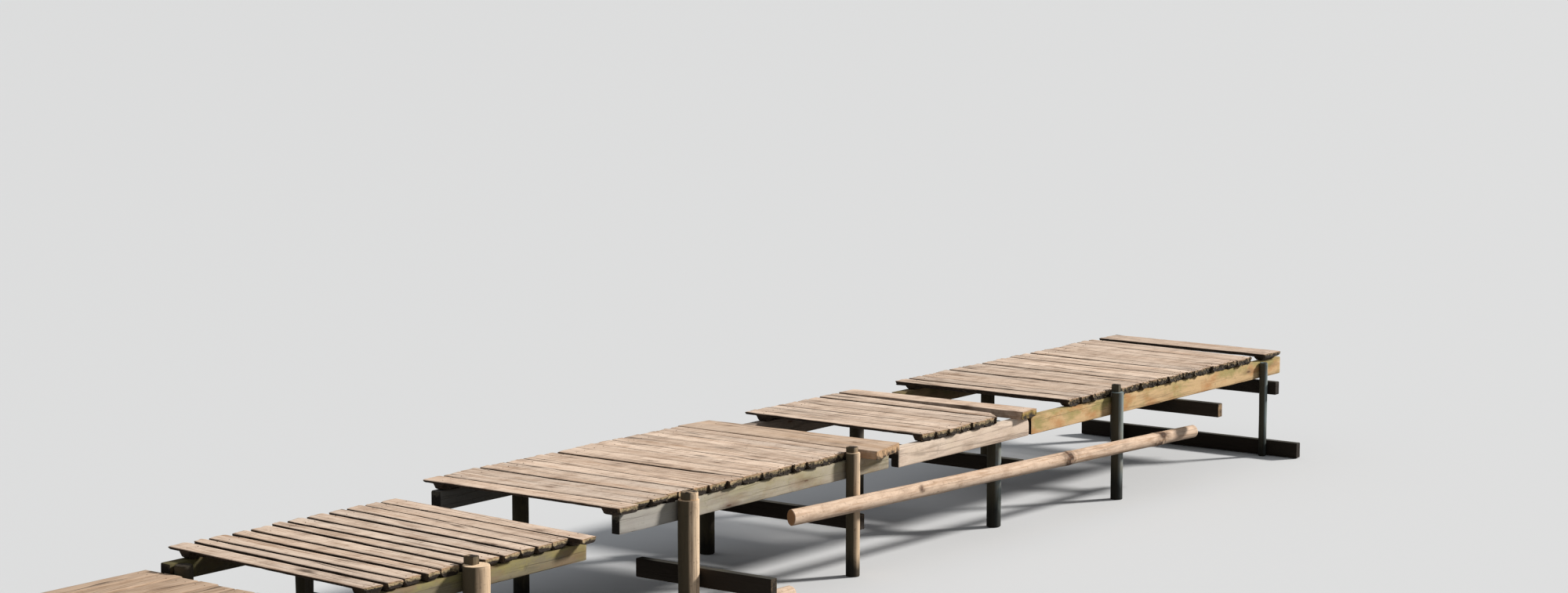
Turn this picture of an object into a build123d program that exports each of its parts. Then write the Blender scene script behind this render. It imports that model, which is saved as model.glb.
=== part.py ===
from build123d import *
from math import cos, radians, tan
import os

# Wooden jetty in five bays. All sizes are in millimetres.
# X runs out along the jetty, Y across it from the open side to the far side, Z up from the feet of the posts.

# Deck levels above the feet of the posts, and how much a bay rises towards its far side, in degrees
deck_level = 790
shore_bay_drop = 180
bay_1_drop = 115
bay_1_tilt = 1.5

# Slab wood: planks that are flat on top, thin at the edges and rounded below
deck_width = 1500
slab_thickness = 55
slab_edge = 18
slab_seat_share = 0.45
slab_bulge = 5
slab_lean = 20
edge_trim = 3
slab_spare = 80
end_unevenness = 13
end_slant = 7

# Slabs whose near ends stick out past the others, as bay and place in the bay
long_slab_ends = {(1, 12): 64, (2, 1): 47}

# Widths of the slabs at the near side and the gap between them, bay by bay, from the shore outwards
slab_widths = {
    1: [150, 128, 142, 118, 150, 136, 128, 150, 112, 122, 142, 146],
    2: [168, 150, 156, 112, 118, 140, 168, 148, 180, 164, 148, 132, 148, 140, 108, 125],
    3: [152, 130, 150, 130, 146, 129],
    4: [150, 128, 110, 142, 118, 130, 150, 112, 126, 138,
        118, 104, 130, 122, 140, 112, 126, 132, 122, 122],
}
slab_gaps = {1: 15, 2: 7, 3: 7, 4: 7}

# How much further out the first and the last slab of a bay lie at the far side
bay_skews = {1: (0, 0), 2: (0, 30), 3: (44, 15), 4: (0, 130)}

# Clear openings between one bay and the next
openings = {1: 150, 2: 215, 3: 348, 4: 445}

# Broad plank that closes bay 2: width and end cut at the near side, then at the far side
end_plank_near_width = 366
end_plank_far_width = 305
end_plank_reaches = (131, 50)
end_plank_far_slant = 28

# Tapered slab and broad plank that close bay 3: the plank bridges the joint of two stringers
tapered_slab_gap = 10
tapered_slab_near_width = 140
tapered_slab_far_width = 214
tapered_slab_cut = 150
joint_plank_near_gap = 140
joint_plank_far_gap = 25
joint_plank_near_width = 215
joint_plank_far_width = 192
joint_plank_reach = 25

# Slab at the outer end of the jetty
outer_slab_near_gap = 160
outer_slab_far_gap = 80
outer_slab_width = 265

# Shore bay: boards along the jetty, laid on cross joists
shore_bay_length = 2550
shore_board_count = 10
shore_board_gap = 8
shore_board_thickness = 42
shore_end_slant = 70
joist_depth = 100
joist_thickness = 90
shore_joist_stations = [330, 1290]

# Stringers: the long timbers under both edges of the deck, and their ends past the bay
near_stringer_thickness = 60
far_stringer_thickness = 75
stringer_depths = {1: 100, 2: 118, 3: 130, 4: 130}
near_stringer_inset = 20
far_stringer_inset = 95
near_shore_reach = {1: 130, 2: -75, 3: 256, 4: 480}
near_outer_reach = {1: 0, 2: -18, 3: -65, 4: 57}
far_shore_reach = {1: 130, 2: 15, 3: 150, 4: 165}
far_outer_reach = {1: 0, 2: -70, 3: -65, 4: 57}

# Posts: the bay that each pair carries and its distance from the shore edge of that bay
post_bays = {0: 1, 1: 1, 2: 2, 3: 2, 4: 3, 5: 4, 6: 4}
post_stations = {0: -80, 1: 790, 2: 625, 3: 2305, 4: 1047, 5: 596, 6: 2816}
near_post_diameters = {0: 104, 1: 152, 2: 129, 3: 92, 4: 100, 5: 90, 6: 64}
far_post_diameter = 104
far_post_setbacks = {0: 0, 1: 0, 2: 0, 3: 138, 4: 0, 5: 208, 6: 0}
shore_post_diameter = 120
top_chamfer = 5
post_head_clearance = 8

# Post heads cut down to a ledge, with a squared tongue left standing: level, height, width
ledge_rises = {1: -1, 2: -40, 3: 0, 5: -16}
tongue_heights = {1: 46, 2: 47, 3: 36, 5: 54}
tongue_widths = {1: 51, 2: 50, 3: 50, 5: 36}
plain_head_drop = 6

# Cross timbers: their tops below the deck and their ends past the axes of the posts
beam_thickness = 58
beam_depth = 100
brace_drops = {1: 470, 2: 458, 3: 405, 4: 322}
brace_near_reaches = {1: 60, 3: 15, 4: 170}
brace_far_reach = 90
short_brace_near_reach = 554
short_brace_length = 1010
short_brace_depth = 115
bearer_station = 1486
bearer_near_reach = 350
bearer_far_reach = 30
outer_bearer_drop = 211
outer_bearer_near_reach = 100
low_beam_depth = 116
low_beam_drop = 670
low_beam_near_reach = 290
low_beam_far_reach = 134

# Fender poles: diameters at both ends, ends past the posts that hold them, depth of the axis below the deck
pole_shore_diameter = 104
pole_outer_diameter = 94
pole_shore_reach = 810
pole_outer_reach = 936
pole_shore_drop = 282
pole_outer_drop = 414
low_pole_diameter = 96
low_pole_shore_reach = 500
low_pole_outer_reach = 860
low_pole_shore_drop = 690
low_pole_outer_drop = 738

# Small clearances where one piece seats on another
touch = 0.3
golden_ratio = 0.618034


def spread(number):
    """Value from -1 to 1 that differs from one piece to the next."""
    return 2 * (number * golden_ratio % 1) - 1


def timber(x0, x1, y0, y1, z0, z1):
    """Squared timber between two corners."""
    return Pos((x0 + x1) / 2, (y0 + y1) / 2, (z0 + z1) / 2) * Box(x1 - x0, y1 - y0, z1 - z0)


def plan_prism(near, far, near_ends, far_ends, top):
    """Flat plank with its own four corners in plan, as thick as a slab."""
    bottom = top - slab_thickness
    outline = Polyline((near[0], near_ends[0], bottom), (near[1], near_ends[1], bottom),
                       (far[1], far_ends[1], bottom), (far[0], far_ends[0], bottom), close=True)
    return extrude(make_face(outline), slab_thickness, dir=(0, 0, 1))


def slab_section(width):
    """Cross-section of a slab, flat at the top and rounded down to a flat seat."""
    side = width / 2
    seat = side * slab_seat_share
    bend = (side + seat) / 2 + slab_bulge
    bend_level = -(slab_edge + slab_thickness) / 2 - slab_bulge
    outline = Polyline((-side, -slab_edge), (-side, 0), (side, 0), (side, -slab_edge))
    outline += ThreePointArc((side, -slab_edge), (bend, bend_level), (seat, -slab_thickness))
    outline += Line((seat, -slab_thickness), (-seat, -slab_thickness))
    outline += ThreePointArc((-seat, -slab_thickness), (-bend, bend_level), (-side, -slab_edge))
    return make_face(outline)


def slab(near, far, near_ends, far_ends, top):
    """Slab with its two edges given at the near and the far side, trimmed in plan to its four corners."""
    width = max(near[1] - near[0], far[1] - far[0]) + 2 * edge_trim
    start = Vector(sum(near) / 2, 0, top)
    run = Vector(sum(far) / 2, deck_width, top) - start
    margin = run * (slab_spare / deck_width)
    across = Plane(origin=start - margin, x_dir=(run.Y, -run.X, 0), z_dir=-run)
    log = extrude(across * slab_section(width), run.length + 2 * margin.length, dir=run)
    return (log & plan_prism(near, far, near_ends, far_ends, top)).solid()


# Places along the near side that follow from the widths above
bay_starts = {}
slab_ends = {}
bay_ends = {}
deck_end = shore_bay_length
for bay, widths in slab_widths.items():
    bay_starts[bay] = deck_end + openings[bay]
    slab_ends[bay] = bay_starts[bay] + sum(widths) + slab_gaps[bay] * (len(widths) - 1)
    deck_end = slab_ends[bay]
    if bay == 2:
        end_plank_start = deck_end + slab_gaps[2]
        deck_end = end_plank_start + end_plank_near_width
    if bay == 3:
        tapered_slab_start = deck_end + tapered_slab_gap
        joint_plank_start = tapered_slab_start + tapered_slab_near_width + joint_plank_near_gap
        deck_end = joint_plank_start + joint_plank_near_width
    if bay == 4:
        outer_slab_start = deck_end + outer_slab_near_gap
        deck_end = outer_slab_start + outer_slab_width
    bay_ends[bay] = deck_end

bay_levels = {1: deck_level - bay_1_drop, 2: deck_level, 3: deck_level, 4: deck_level}
bay_tilts = {1: bay_1_tilt, 2: 0, 3: 0, 4: 0}
near_face = near_stringer_inset
far_inner_line = deck_width - far_stringer_inset - far_stringer_thickness
post_places = {pair: bay_starts[post_bays[pair]] + post_stations[pair] for pair in post_bays}


def stringer_top(bay):
    return bay_levels[bay] - slab_thickness


def stringer_bottom(bay):
    return stringer_top(bay) - stringer_depths[bay]


def tilted(piece, bay):
    """Piece of a bay, leaned with it about the top edge of its near stringer."""
    return Pos(0, near_face, stringer_top(bay)) * Rot(bay_tilts[bay], 0, 0) * Pos(
        0, -near_face, -stringer_top(bay)) * piece


def near_slab_end(x, width, bay, number):
    """Near end of a slab: ragged, but cut back square where a post head stands in the way."""
    for pair in ledge_rises:
        reach = near_post_diameters[pair] / 2 + post_head_clearance
        if x - reach < post_places[pair] < x + width + reach:
            cut = near_face + touch + slab_thickness * tan(radians(bay_tilts[bay]))
            return cut, cut
    end = -long_slab_ends[bay, number] if (bay, number) in long_slab_ends else end_unevenness * spread(
        number + 5 * bay)
    return end - end_slant * spread(2 * number), end + end_slant * spread(2 * number)


def joint_lean(bay, number, x):
    """How much further out the joint before a slab lies at the far side than at the near side."""
    first, last = bay_skews[bay]
    share = (x - bay_starts[bay]) / (slab_ends[bay] - bay_starts[bay])
    inner_joint = 0 < number < len(slab_widths[bay])
    return first + (last - first) * share + (slab_lean * spread(2 * number + bay) if inner_joint else 0)


def bay_slabs(bay):
    """All ordinary slabs of one bay, side by side."""
    pieces = []
    x = bay_starts[bay]
    gap = slab_gaps[bay]
    for number, width in enumerate(slab_widths[bay]):
        end = x + width
        far_start = x + joint_lean(bay, number, x)
        far_end = end + joint_lean(bay, number + 1, end + gap if end < slab_ends[bay] else end)
        reach = end_unevenness * spread(3 * number + bay)
        far_ends = (deck_width + reach - end_slant, deck_width + reach + end_slant)
        near_ends = near_slab_end(x, width, bay, number + 1)
        piece = slab((x, end), (far_start, far_end), near_ends, far_ends, bay_levels[bay])
        pieces.append(tilted(piece, bay))
        x = end + gap
    return pieces


def post(x, y, diameter, top):
    """Round post from its foot up to a plain head."""
    body = Cylinder(diameter / 2, top)
    head = body.edges().filter_by(GeomType.CIRCLE).sort_by(Axis.Z)[-1]
    body = chamfer(head, top_chamfer)
    return Pos(x, y, top / 2) * body


def headed_post(x, y, pair):
    """Round post with its head cut down around a squared tongue on the deck side."""
    ledge = bay_levels[post_bays[pair]] + ledge_rises[pair]
    top = ledge + tongue_heights[pair]
    radius = near_post_diameters[pair] / 2
    half = tongue_widths[pair] / 2
    offset = max((radius ** 2 - half ** 2) ** 0.5 - half, 0)
    trunk = Pos(0, 0, ledge / 2) * Cylinder(radius, ledge)
    tongue = Pos(0, 0, (ledge + top) / 2) * Cylinder(radius, top - ledge)
    tongue &= timber(-half, half, offset - half, offset + half, ledge, top)
    return Pos(x, y, 0) * (trunk + tongue)


def near_post_y(pair):
    """Axis of a near post: outside the stringer, except the fourth, which stands inside it."""
    radius = near_post_diameters[pair] / 2
    if pair == 4:
        return near_face + near_stringer_thickness + radius + touch
    return near_face - radius - touch


def near_post(pair):
    if pair in ledge_rises:
        return headed_post(post_places[pair], near_post_y(pair), pair)
    top = stringer_top(post_bays[pair]) - plain_head_drop
    return post(post_places[pair], near_post_y(pair), near_post_diameters[pair], top)


def far_post_y(pair):
    """Axis of a far post, inside the far stringer."""
    bay = post_bays[pair]
    inner_face = near_face + (far_inner_line - near_face) * cos(radians(bay_tilts[bay]))
    return inner_face - far_post_setbacks[pair] - far_post_diameter / 2 - touch


def far_post(pair):
    """Far post of a pair: up to the underside of the slabs, its outer side in line with the near post's."""
    bay = post_bays[pair]
    x = post_places[pair] + (near_post_diameters[pair] - far_post_diameter) / 2
    y = far_post_y(pair)
    rise = (y - far_post_diameter / 2 - near_face) * tan(radians(bay_tilts[bay]))
    return post(x, y, far_post_diameter, stringer_top(bay) + rise - touch)


def beside_post(pair):
    """Outer side of a pair of posts, where a cross timber is fixed."""
    return post_places[pair] + near_post_diameters[pair] / 2 + touch


def cross_timber(x, y0, y1, top, depth):
    return timber(x, x + beam_thickness, y0, y1, top - depth, top)


def pole(pairs, diameters, reaches, drops):
    """Round pole, tapered or not, laid along the outer faces of two near posts."""
    places = [post_places[pair] for pair in pairs]
    start = places[0] - reaches[0]
    end = places[1] + reaches[1]
    seats = []
    for pair, place in zip(pairs, places):
        share = (place - start) / (end - start)
        radius = (diameters[0] + (diameters[1] - diameters[0]) * share) / 2
        seats.append(near_post_y(pair) - near_post_diameters[pair] / 2 - radius - touch)
    slope = (seats[1] - seats[0]) / (places[1] - places[0])
    start_point = Vector(start, seats[0] - slope * reaches[0], deck_level - drops[0])
    end_point = Vector(end, seats[1] + slope * reaches[1], deck_level - drops[1])
    run = end_point - start_point
    tapered = diameters[0] != diameters[1]
    body = Cone(diameters[0] / 2, diameters[1] / 2, run.length) if tapered else Cylinder(
        diameters[0] / 2, run.length)
    return Plane(origin=start_point, z_dir=run) * Pos(0, 0, run.length / 2) * body


nodes = {}

# Shore bay
board_width = (deck_width - shore_board_gap * (shore_board_count - 1)) / shore_board_count
shore_top = deck_level - shore_bay_drop
joist_top = shore_top - shore_board_thickness
shore_boards = []
for number in range(shore_board_count):
    y = number * (board_width + shore_board_gap)
    outer_end = shore_bay_length - shore_end_slant * (1 - y / deck_width) + end_unevenness * spread(number)
    shore_end = end_unevenness * spread(number + 4)
    shore_boards.append(timber(shore_end, outer_end, y, y + board_width, joist_top, shore_top))
nodes["shore_deck_boards"] = shore_boards
far_outer_line = far_inner_line + far_stringer_thickness
for number, x in enumerate(shore_joist_stations, 1):
    joist = timber(x - joist_thickness / 2, x + joist_thickness / 2, -end_unevenness,
                   deck_width + end_unevenness, joist_top - joist_depth, joist_top)
    nodes[f"shore_joist_{number}"] = [joist]
    for side, y in (("near", near_face + shore_post_diameter), ("far", far_outer_line - shore_post_diameter)):
        support = post(x, y, shore_post_diameter, joist_top - joist_depth)
        nodes[f"shore_{side}_post_{number}"] = [support]
shared_joist_end = post_places[0] - near_post_diameters[0] / 2 - touch
nodes["shore_joist_3"] = [timber(shared_joist_end - joist_thickness, shared_joist_end,
                                 near_post_y(0) - brace_near_reaches[1], deck_width + end_unevenness,
                                 joist_top - joist_depth, joist_top)]

# Decks of the outer bays
for bay in slab_widths:
    nodes[f"bay_{bay}_slabs"] = bay_slabs(bay)

far_start = end_plank_start + bay_skews[2][1]
nodes["bay_2_end_plank"] = [plan_prism(
    (end_plank_start, end_plank_start + end_plank_near_width), (far_start, far_start + end_plank_far_width),
    (-end_plank_reaches[0], -end_plank_reaches[1]), (deck_width, deck_width - end_plank_far_slant), deck_level)]

far_start = tapered_slab_start + bay_skews[3][1]
far_end = far_start + tapered_slab_far_width
nodes["bay_3_slabs"].append(slab(
    (tapered_slab_start, tapered_slab_start + tapered_slab_near_width), (far_start, far_end),
    (0, tapered_slab_cut), (deck_width, deck_width), deck_level))
far_start = far_end + joint_plank_far_gap
nodes["bay_3_slabs"].append(plan_prism(
    (joint_plank_start, joint_plank_start + joint_plank_near_width), (far_start, far_start + joint_plank_far_width),
    (-joint_plank_reach, 0), (deck_width, deck_width), deck_level))

far_start = slab_ends[4] + bay_skews[4][1] + outer_slab_far_gap
nodes["outer_end_slab"] = [slab(
    (outer_slab_start, outer_slab_start + outer_slab_width), (far_start, far_start + outer_slab_width),
    (-end_unevenness, -end_unevenness), (deck_width, deck_width), deck_level)]

# Stringers
for bay in slab_widths:
    levels = (stringer_bottom(bay), stringer_top(bay))
    near_timber = timber(bay_starts[bay] - near_shore_reach[bay], bay_ends[bay] + near_outer_reach[bay],
                         near_face, near_face + near_stringer_thickness, *levels)
    far_timber = timber(bay_starts[bay] - far_shore_reach[bay], bay_ends[bay] + far_outer_reach[bay],
                        far_inner_line, far_outer_line, *levels)
    nodes[f"near_stringer_{bay}"] = [tilted(near_timber, bay)]
    nodes[f"far_stringer_{bay}"] = [tilted(far_timber, bay)]

# Posts
for pair in post_bays:
    nodes[f"near_post_{pair}"] = [near_post(pair)]
    nodes[f"far_post_{pair}"] = [far_post(pair)]

# Cross timbers
for pair, drop in brace_drops.items():
    top = deck_level - drop
    if pair == 2:
        depth = short_brace_depth
        y0 = near_post_y(pair) - short_brace_near_reach
        y1 = y0 + short_brace_length
    else:
        depth = beam_depth
        y0 = near_post_y(pair) - brace_near_reaches[pair]
        y1 = far_post_y(pair) + brace_far_reach
    nodes[f"cross_brace_{pair}"] = [cross_timber(beside_post(pair), y0, y1, top, depth)]
nodes["mid_bay_bearer"] = [cross_timber(bay_starts[4] + bearer_station, -bearer_near_reach,
                                        deck_width - bearer_far_reach, stringer_bottom(4), beam_depth)]
bearer_top = deck_level - outer_bearer_drop
nodes["outer_bearer"] = [cross_timber(beside_post(6), -outer_bearer_near_reach,
                                      deck_width - bearer_far_reach, bearer_top, beam_depth)]
low_beam_top = deck_level - low_beam_drop
nodes["low_outer_beam"] = [cross_timber(beside_post(6), -low_beam_near_reach,
                                        deck_width + low_beam_far_reach, low_beam_top, low_beam_depth)]

# Fender poles
nodes["fender_pole"] = [pole((3, 5), (pole_shore_diameter, pole_outer_diameter),
                             (pole_shore_reach, pole_outer_reach), (pole_shore_drop, pole_outer_drop))]
nodes["low_fender_pole"] = [pole((1, 2), (low_pole_diameter, low_pole_diameter),
                                 (low_pole_shore_reach, low_pole_outer_reach),
                                 (low_pole_shore_drop, low_pole_outer_drop))]

# The origin is at the middle of the jetty, level with the feet of the posts
extent = Compound([piece for pieces in nodes.values() for piece in pieces]).bounding_box()
to_origin = Pos(-extent.center().X, -extent.center().Y, 0)
os.makedirs("parts", exist_ok=True)
for name, pieces in nodes.items():
    moved = [to_origin * piece for piece in pieces]
    export_step(Compound(moved) if len(moved) > 1 else moved[0], f"parts/{name}.step")
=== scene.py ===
import math
import random

import bmesh
import bpy
from bpy.props import FloatProperty, FloatVectorProperty, IntProperty, PointerProperty
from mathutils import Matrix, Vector, noise


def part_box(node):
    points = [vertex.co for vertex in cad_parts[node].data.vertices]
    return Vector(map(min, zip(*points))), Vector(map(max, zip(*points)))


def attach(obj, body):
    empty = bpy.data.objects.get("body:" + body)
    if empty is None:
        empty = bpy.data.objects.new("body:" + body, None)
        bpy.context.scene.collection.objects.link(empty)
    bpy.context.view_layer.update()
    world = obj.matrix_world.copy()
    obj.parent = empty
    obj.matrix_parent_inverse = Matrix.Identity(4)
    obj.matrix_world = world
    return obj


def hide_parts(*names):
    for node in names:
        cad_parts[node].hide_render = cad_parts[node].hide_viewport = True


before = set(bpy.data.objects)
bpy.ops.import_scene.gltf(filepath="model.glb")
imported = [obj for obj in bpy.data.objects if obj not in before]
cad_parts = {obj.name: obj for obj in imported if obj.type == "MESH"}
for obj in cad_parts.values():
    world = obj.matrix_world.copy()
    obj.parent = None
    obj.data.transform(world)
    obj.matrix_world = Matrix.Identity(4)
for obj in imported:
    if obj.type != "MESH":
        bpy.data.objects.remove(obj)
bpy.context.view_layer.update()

bl_info = {
    "name": "Wooden jetty",
    "version": (1, 0, 0),
    "blender": (4, 5, 0),
    "location": "View3D > Sidebar > Jetty",
    "description": "Weathered planks, timbers, posts and fender poles for the jetty's frame",
    "category": "Object",
}


# Settings

def tint(red, green, blue):
    """Screen colour from 0 to 255 as the linear colour that materials use."""
    return tuple((v / 255 / 12.92) if v < 11 else ((v / 255 + 0.055) / 1.055) ** 2.4
                 for v in (red, green, blue))


def colour_setting(name, description, value):
    return FloatVectorProperty(name=name, description=description, default=value, min=0, max=1, size=3,
                               subtype="COLOR")


def length_setting(name, description, value):
    return FloatProperty(name=name, description=description, default=value, min=0, precision=4,
                         subtype="DISTANCE", unit="LENGTH")


class JettyDeckSettings(bpy.types.PropertyGroup):
    """Weathered slab planks of the deck."""
    sunlit: colour_setting("Sunlit wood", "Bare wood on the walked face", tint(248, 224, 202))
    shade: colour_setting("Grain shade", "Darker streaks along the grain", tint(182, 145, 114))
    silver: colour_setting("Silvered wood", "Grey of the oldest weathering", tint(214, 202, 190))
    stain: colour_setting("Stain", "Brown stains that the weather leaves", tint(140, 108, 82))
    knot: colour_setting("Knot", "Heart of a knot", tint(92, 62, 42))
    # Partly the bark's own colour and partly painted shade, as the bark sides and underside face away from
    # the key light.
    bark: colour_setting("Bark", "Bark under the slabs and round their ends", tint(44, 34, 25))
    end_grain: colour_setting("End grain", "Sawn end of a slab", tint(196, 174, 134))
    # Also laid as painted shade low on the slab ends and on the shore side of the soaked cross timbers.
    end_dirt_and_shade: colour_setting("End dirt", "Rotten and dirty parts of the ends", tint(40, 31, 22))
    edge_wander: length_setting("Edge wander", "How far a slab's edge wanders from a straight line", 0.006)
    end_chipping: length_setting("End chipping", "How far the ends are chipped and split", 0.011)
    face_wander: length_setting("Face wander", "Height of the dips in the walked face", 0.0016)


class JettySawnSettings(bpy.types.PropertyGroup):
    """Newer sawn planks and the boards of the shore bay."""
    face: colour_setting("Sawn face", "Face of the newer planks", tint(222, 194, 168))
    shade: colour_setting("Sawn shade", "Darker streaks of the newer planks", tint(176, 142, 110))
    end: colour_setting("Sawn end", "End of the newer planks", tint(200, 164, 126))
    moss: colour_setting("Moss", "Moss on the broken end of the joint plank", tint(176, 148, 82))
    arris: length_setting("Arris", "Worn rounding of the sawn edges", 0.004)


class JettyTimberSettings(bpy.types.PropertyGroup):
    """Stringers and cross timbers."""
    bay_1: colour_setting("Stringer bay 1", "Grey tan of the first stringers", tint(142, 132, 106))
    bay_2: colour_setting("Stringer bay 2", "Grey of the second stringers", tint(188, 178, 158))
    bay_3: colour_setting("Stringer bay 3", "Pale mottled wood of the third stringers", tint(242, 220, 200))
    bay_4: colour_setting("Stringer bay 4", "Straw colour of the outer stringers", tint(230, 194, 144))
    bleached: colour_setting("Bleached", "Grey of the second stringers' shore ends", tint(172, 170, 166))
    algae: colour_setting("Algae", "Yellow green film on the faces", tint(158, 148, 88))
    tannin: colour_setting("Tannin", "Orange brown stain", tint(190, 130, 76))
    # Partly the soaked wood's own colour and partly painted shade, as the cross timbers lie in shade under
    # the deck.
    dark: colour_setting("Cross timber", "Soaked dark wood of the cross timbers", tint(74, 72, 67))
    dark_end: colour_setting("Cross timber end", "Sawn ends of the dry cross timbers", tint(168, 138, 104))
    outer_end: colour_setting("Outer end", "Sawn outer ends of the stringers", tint(206, 164, 118))
    # Painted shade: the stringers' shore ends face away from the key light.
    shaded_shore_end: colour_setting("Shore end", "Rotten shore ends of the stringers", tint(30, 26, 21))
    arris: length_setting("Arris", "Worn rounding of the edges", 0.006)


class JettyPostSettings(bpy.types.PropertyGroup):
    """Round posts."""
    peeled: colour_setting("Peeled post", "Near posts of the inner bays", tint(246, 216, 180))
    peeled_shade: colour_setting("Peeled shade", "Streaks down the inner posts", tint(180, 150, 120))
    grey: colour_setting("Grey post", "Near posts of the outer bays", tint(142, 156, 156))
    grey_shade: colour_setting("Grey shade", "Streaks down the outer posts", tint(45, 53, 51))
    # Partly the far posts' own weathering and partly painted shade, as they stand in the deck's shade.
    far: colour_setting("Far post", "Posts on the far side and round the shore bay", tint(76, 68, 54))
    far_shade: colour_setting("Far shade", "Streaks down the far posts", tint(40, 36, 28))
    # Painted shade: the colour laid on the side of each post that faces away from the key light.
    shaded_side: colour_setting("Lee side", "Damp side that turns to the shore", tint(76, 69, 52))
    foot: colour_setting("Foot", "Soaked band above the foot", tint(26, 25, 20))
    foot_height: length_setting("Foot height", "Height of the soaked band", 0.16)
    tongue_cheek: length_setting("Tongue cheek", "Extra width of a squared tongue's outer side", 0.022)
    swell: length_setting("Swell", "Unevenness of the round trunks", 0.003)


class JettyPoleSettings(bpy.types.PropertyGroup):
    """Peeled fender poles."""
    peeled: colour_setting("Peeled pole", "Sunny side of the pole", tint(232, 205, 180))
    shade: colour_setting("Pole shade", "Scraped streaks along the pole", tint(190, 154, 122))
    end: colour_setting("Sawn end", "End of the pole", tint(190, 142, 100))
    whorl: colour_setting("Whorl", "Rough bark round the cut branches", tint(66, 46, 32))
    whorl_places: FloatVectorProperty(name="Whorl places", description="Rings of branches, from the shore",
                                      default=(1.38, 3.20, 4.44), size=3, subtype="XYZ_LENGTH",
                                      unit="LENGTH")
    stub_size: length_setting("Stub size", "Radius of the rough patch round a cut branch", 0.056)
    swell: length_setting("Swell", "Unevenness of the pole", 0.003)


class JettyNailSettings(bpy.types.PropertyGroup):
    """Nails that hold the deck."""
    radius: length_setting("Head radius", "Radius of a nail head", 0.004)
    height: length_setting("Head height", "How far a head stands proud", 0.002)
    rust: colour_setting("Rust", "Rusted steel", tint(120, 92, 70))
    seed: IntProperty(name="Seed", description="Picks the lean of every nail", default=4, min=0)


class JettyBarkSettings(bpy.types.PropertyGroup):
    """Loose bark and splinters round the slab ends."""
    flake: length_setting("Flake size", "Size of one flake", 0.009)
    density: FloatProperty(name="Density", description="Flakes on a square metre of slab end", default=1700,
                           min=0)
    pale: colour_setting("Pale flake", "Lightest flakes", tint(206, 184, 146))
    seed: IntProperty(name="Seed", description="Picks the place of every flake", default=7, min=0)


class JettyStageSettings(bpy.types.PropertyGroup):
    """Floor, light and camera."""
    floor: colour_setting("Floor", "Plain pale floor", tint(226, 228, 230))
    bounce: colour_setting("Floor bounce", "Colour that the floor throws back up", tint(120, 122, 124))
    key: FloatProperty(name="Key light", description="Strength of the key light", default=4.5, min=0)
    sky: FloatProperty(name="Fill light", description="Strength of the even fill", default=0.30, min=0)
    lens: FloatProperty(name="Lens", description="Focal length of the camera", default=70.2, min=1,
                        subtype="DISTANCE_CAMERA")


SETTINGS = {
    "jetty_deck": JettyDeckSettings,
    "jetty_sawn": JettySawnSettings,
    "jetty_timber": JettyTimberSettings,
    "jetty_post": JettyPostSettings,
    "jetty_pole": JettyPoleSettings,
    "jetty_nail": JettyNailSettings,
    "jetty_bark": JettyBarkSettings,
    "jetty_stage": JettyStageSettings,
}


# Materials

FIBRE_SCALE = (5, 95, 95)
WOOD_ROUGHNESS = 0.86
WOOD_RELIEF = 0.004
BUMP_STRENGTH = 0.6
DULL_SPECULAR = 0.3


def scaled(colour, share):
    """A colour made darker or lighter, at most white."""
    return tuple(min(1, c * share) for c in colour)


class Shade:
    """Builds one node material."""

    def __init__(self, name):
        self.material = bpy.data.materials.new(name)
        self.material.use_nodes = True
        self.tree = self.material.node_tree
        self.tree.nodes.clear()

    def node(self, kind, sockets=(), **settings):
        made = self.tree.nodes.new("ShaderNode" + kind)
        for key, value in settings.items():
            setattr(made, key, value)
        for key, value in dict(sockets).items():
            if isinstance(value, bpy.types.NodeSocket):
                self.tree.links.new(value, made.inputs[key])
            else:
                made.inputs[key].default_value = value
        return made

    def value(self, attribute):
        return self.node("Attribute", attribute_name=attribute).outputs["Fac"]

    def vector(self, attribute):
        return self.node("Attribute", attribute_name=attribute).outputs["Vector"]

    def mapped(self, vector, scale):
        return self.node("Mapping", {"Vector": vector, "Scale": scale}).outputs["Vector"]

    def noise(self, vector, scale, detail=3.0, roughness=0.55):
        if not isinstance(scale, tuple):
            scale = (scale, scale, scale)
        sockets = {"Vector": self.mapped(vector, scale), "Scale": 1.0, "Detail": detail,
                   "Roughness": roughness}
        return self.node("TexNoise", sockets).outputs["Fac"]

    def math(self, operation, first, second=0.0):
        return self.node("Math", {0: first, 1: second}, operation=operation).outputs[0]

    def plus(self, first, second):
        return self.math("ADD", first, second)

    def times(self, first, second):
        return self.math("MULTIPLY", first, second)

    def span(self, value, low, high, to_low=0.0, to_high=1.0):
        """Value from low to high as a value from to_low to to_high, with both ends held."""
        sockets = {"Value": value, "From Min": low, "From Max": high, "To Min": to_low, "To Max": to_high}
        return self.node("MapRange", sockets).outputs["Result"]

    def mix(self, share, first, second, blend="MIX"):
        made = self.node("Mix", data_type="RGBA", blend_type=blend)
        for index, value in ((0, share), (6, first), (7, second)):
            if isinstance(value, bpy.types.NodeSocket):
                self.tree.links.new(value, made.inputs[index])
            elif index:
                made.inputs[index].default_value = tuple(value)[:3] + (1.0,)
            else:
                made.inputs[index].default_value = value
        return made.outputs[2]

    def grey(self, value):
        return self.node("CombineColor", {0: value, 1: value, 2: value}).outputs[0]

    def finish(self, colour, roughness, height, depth):
        bump = self.node("Bump", {"Height": height, "Distance": depth, "Strength": BUMP_STRENGTH})
        sockets = {"Base Color": colour, "Roughness": roughness, "Normal": bump.outputs["Normal"],
                   "Specular IOR Level": DULL_SPECULAR}
        shader = self.node("BsdfPrincipled", sockets)
        self.node("OutputMaterial", {"Surface": shader.outputs["BSDF"]})
        return self.material


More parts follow.
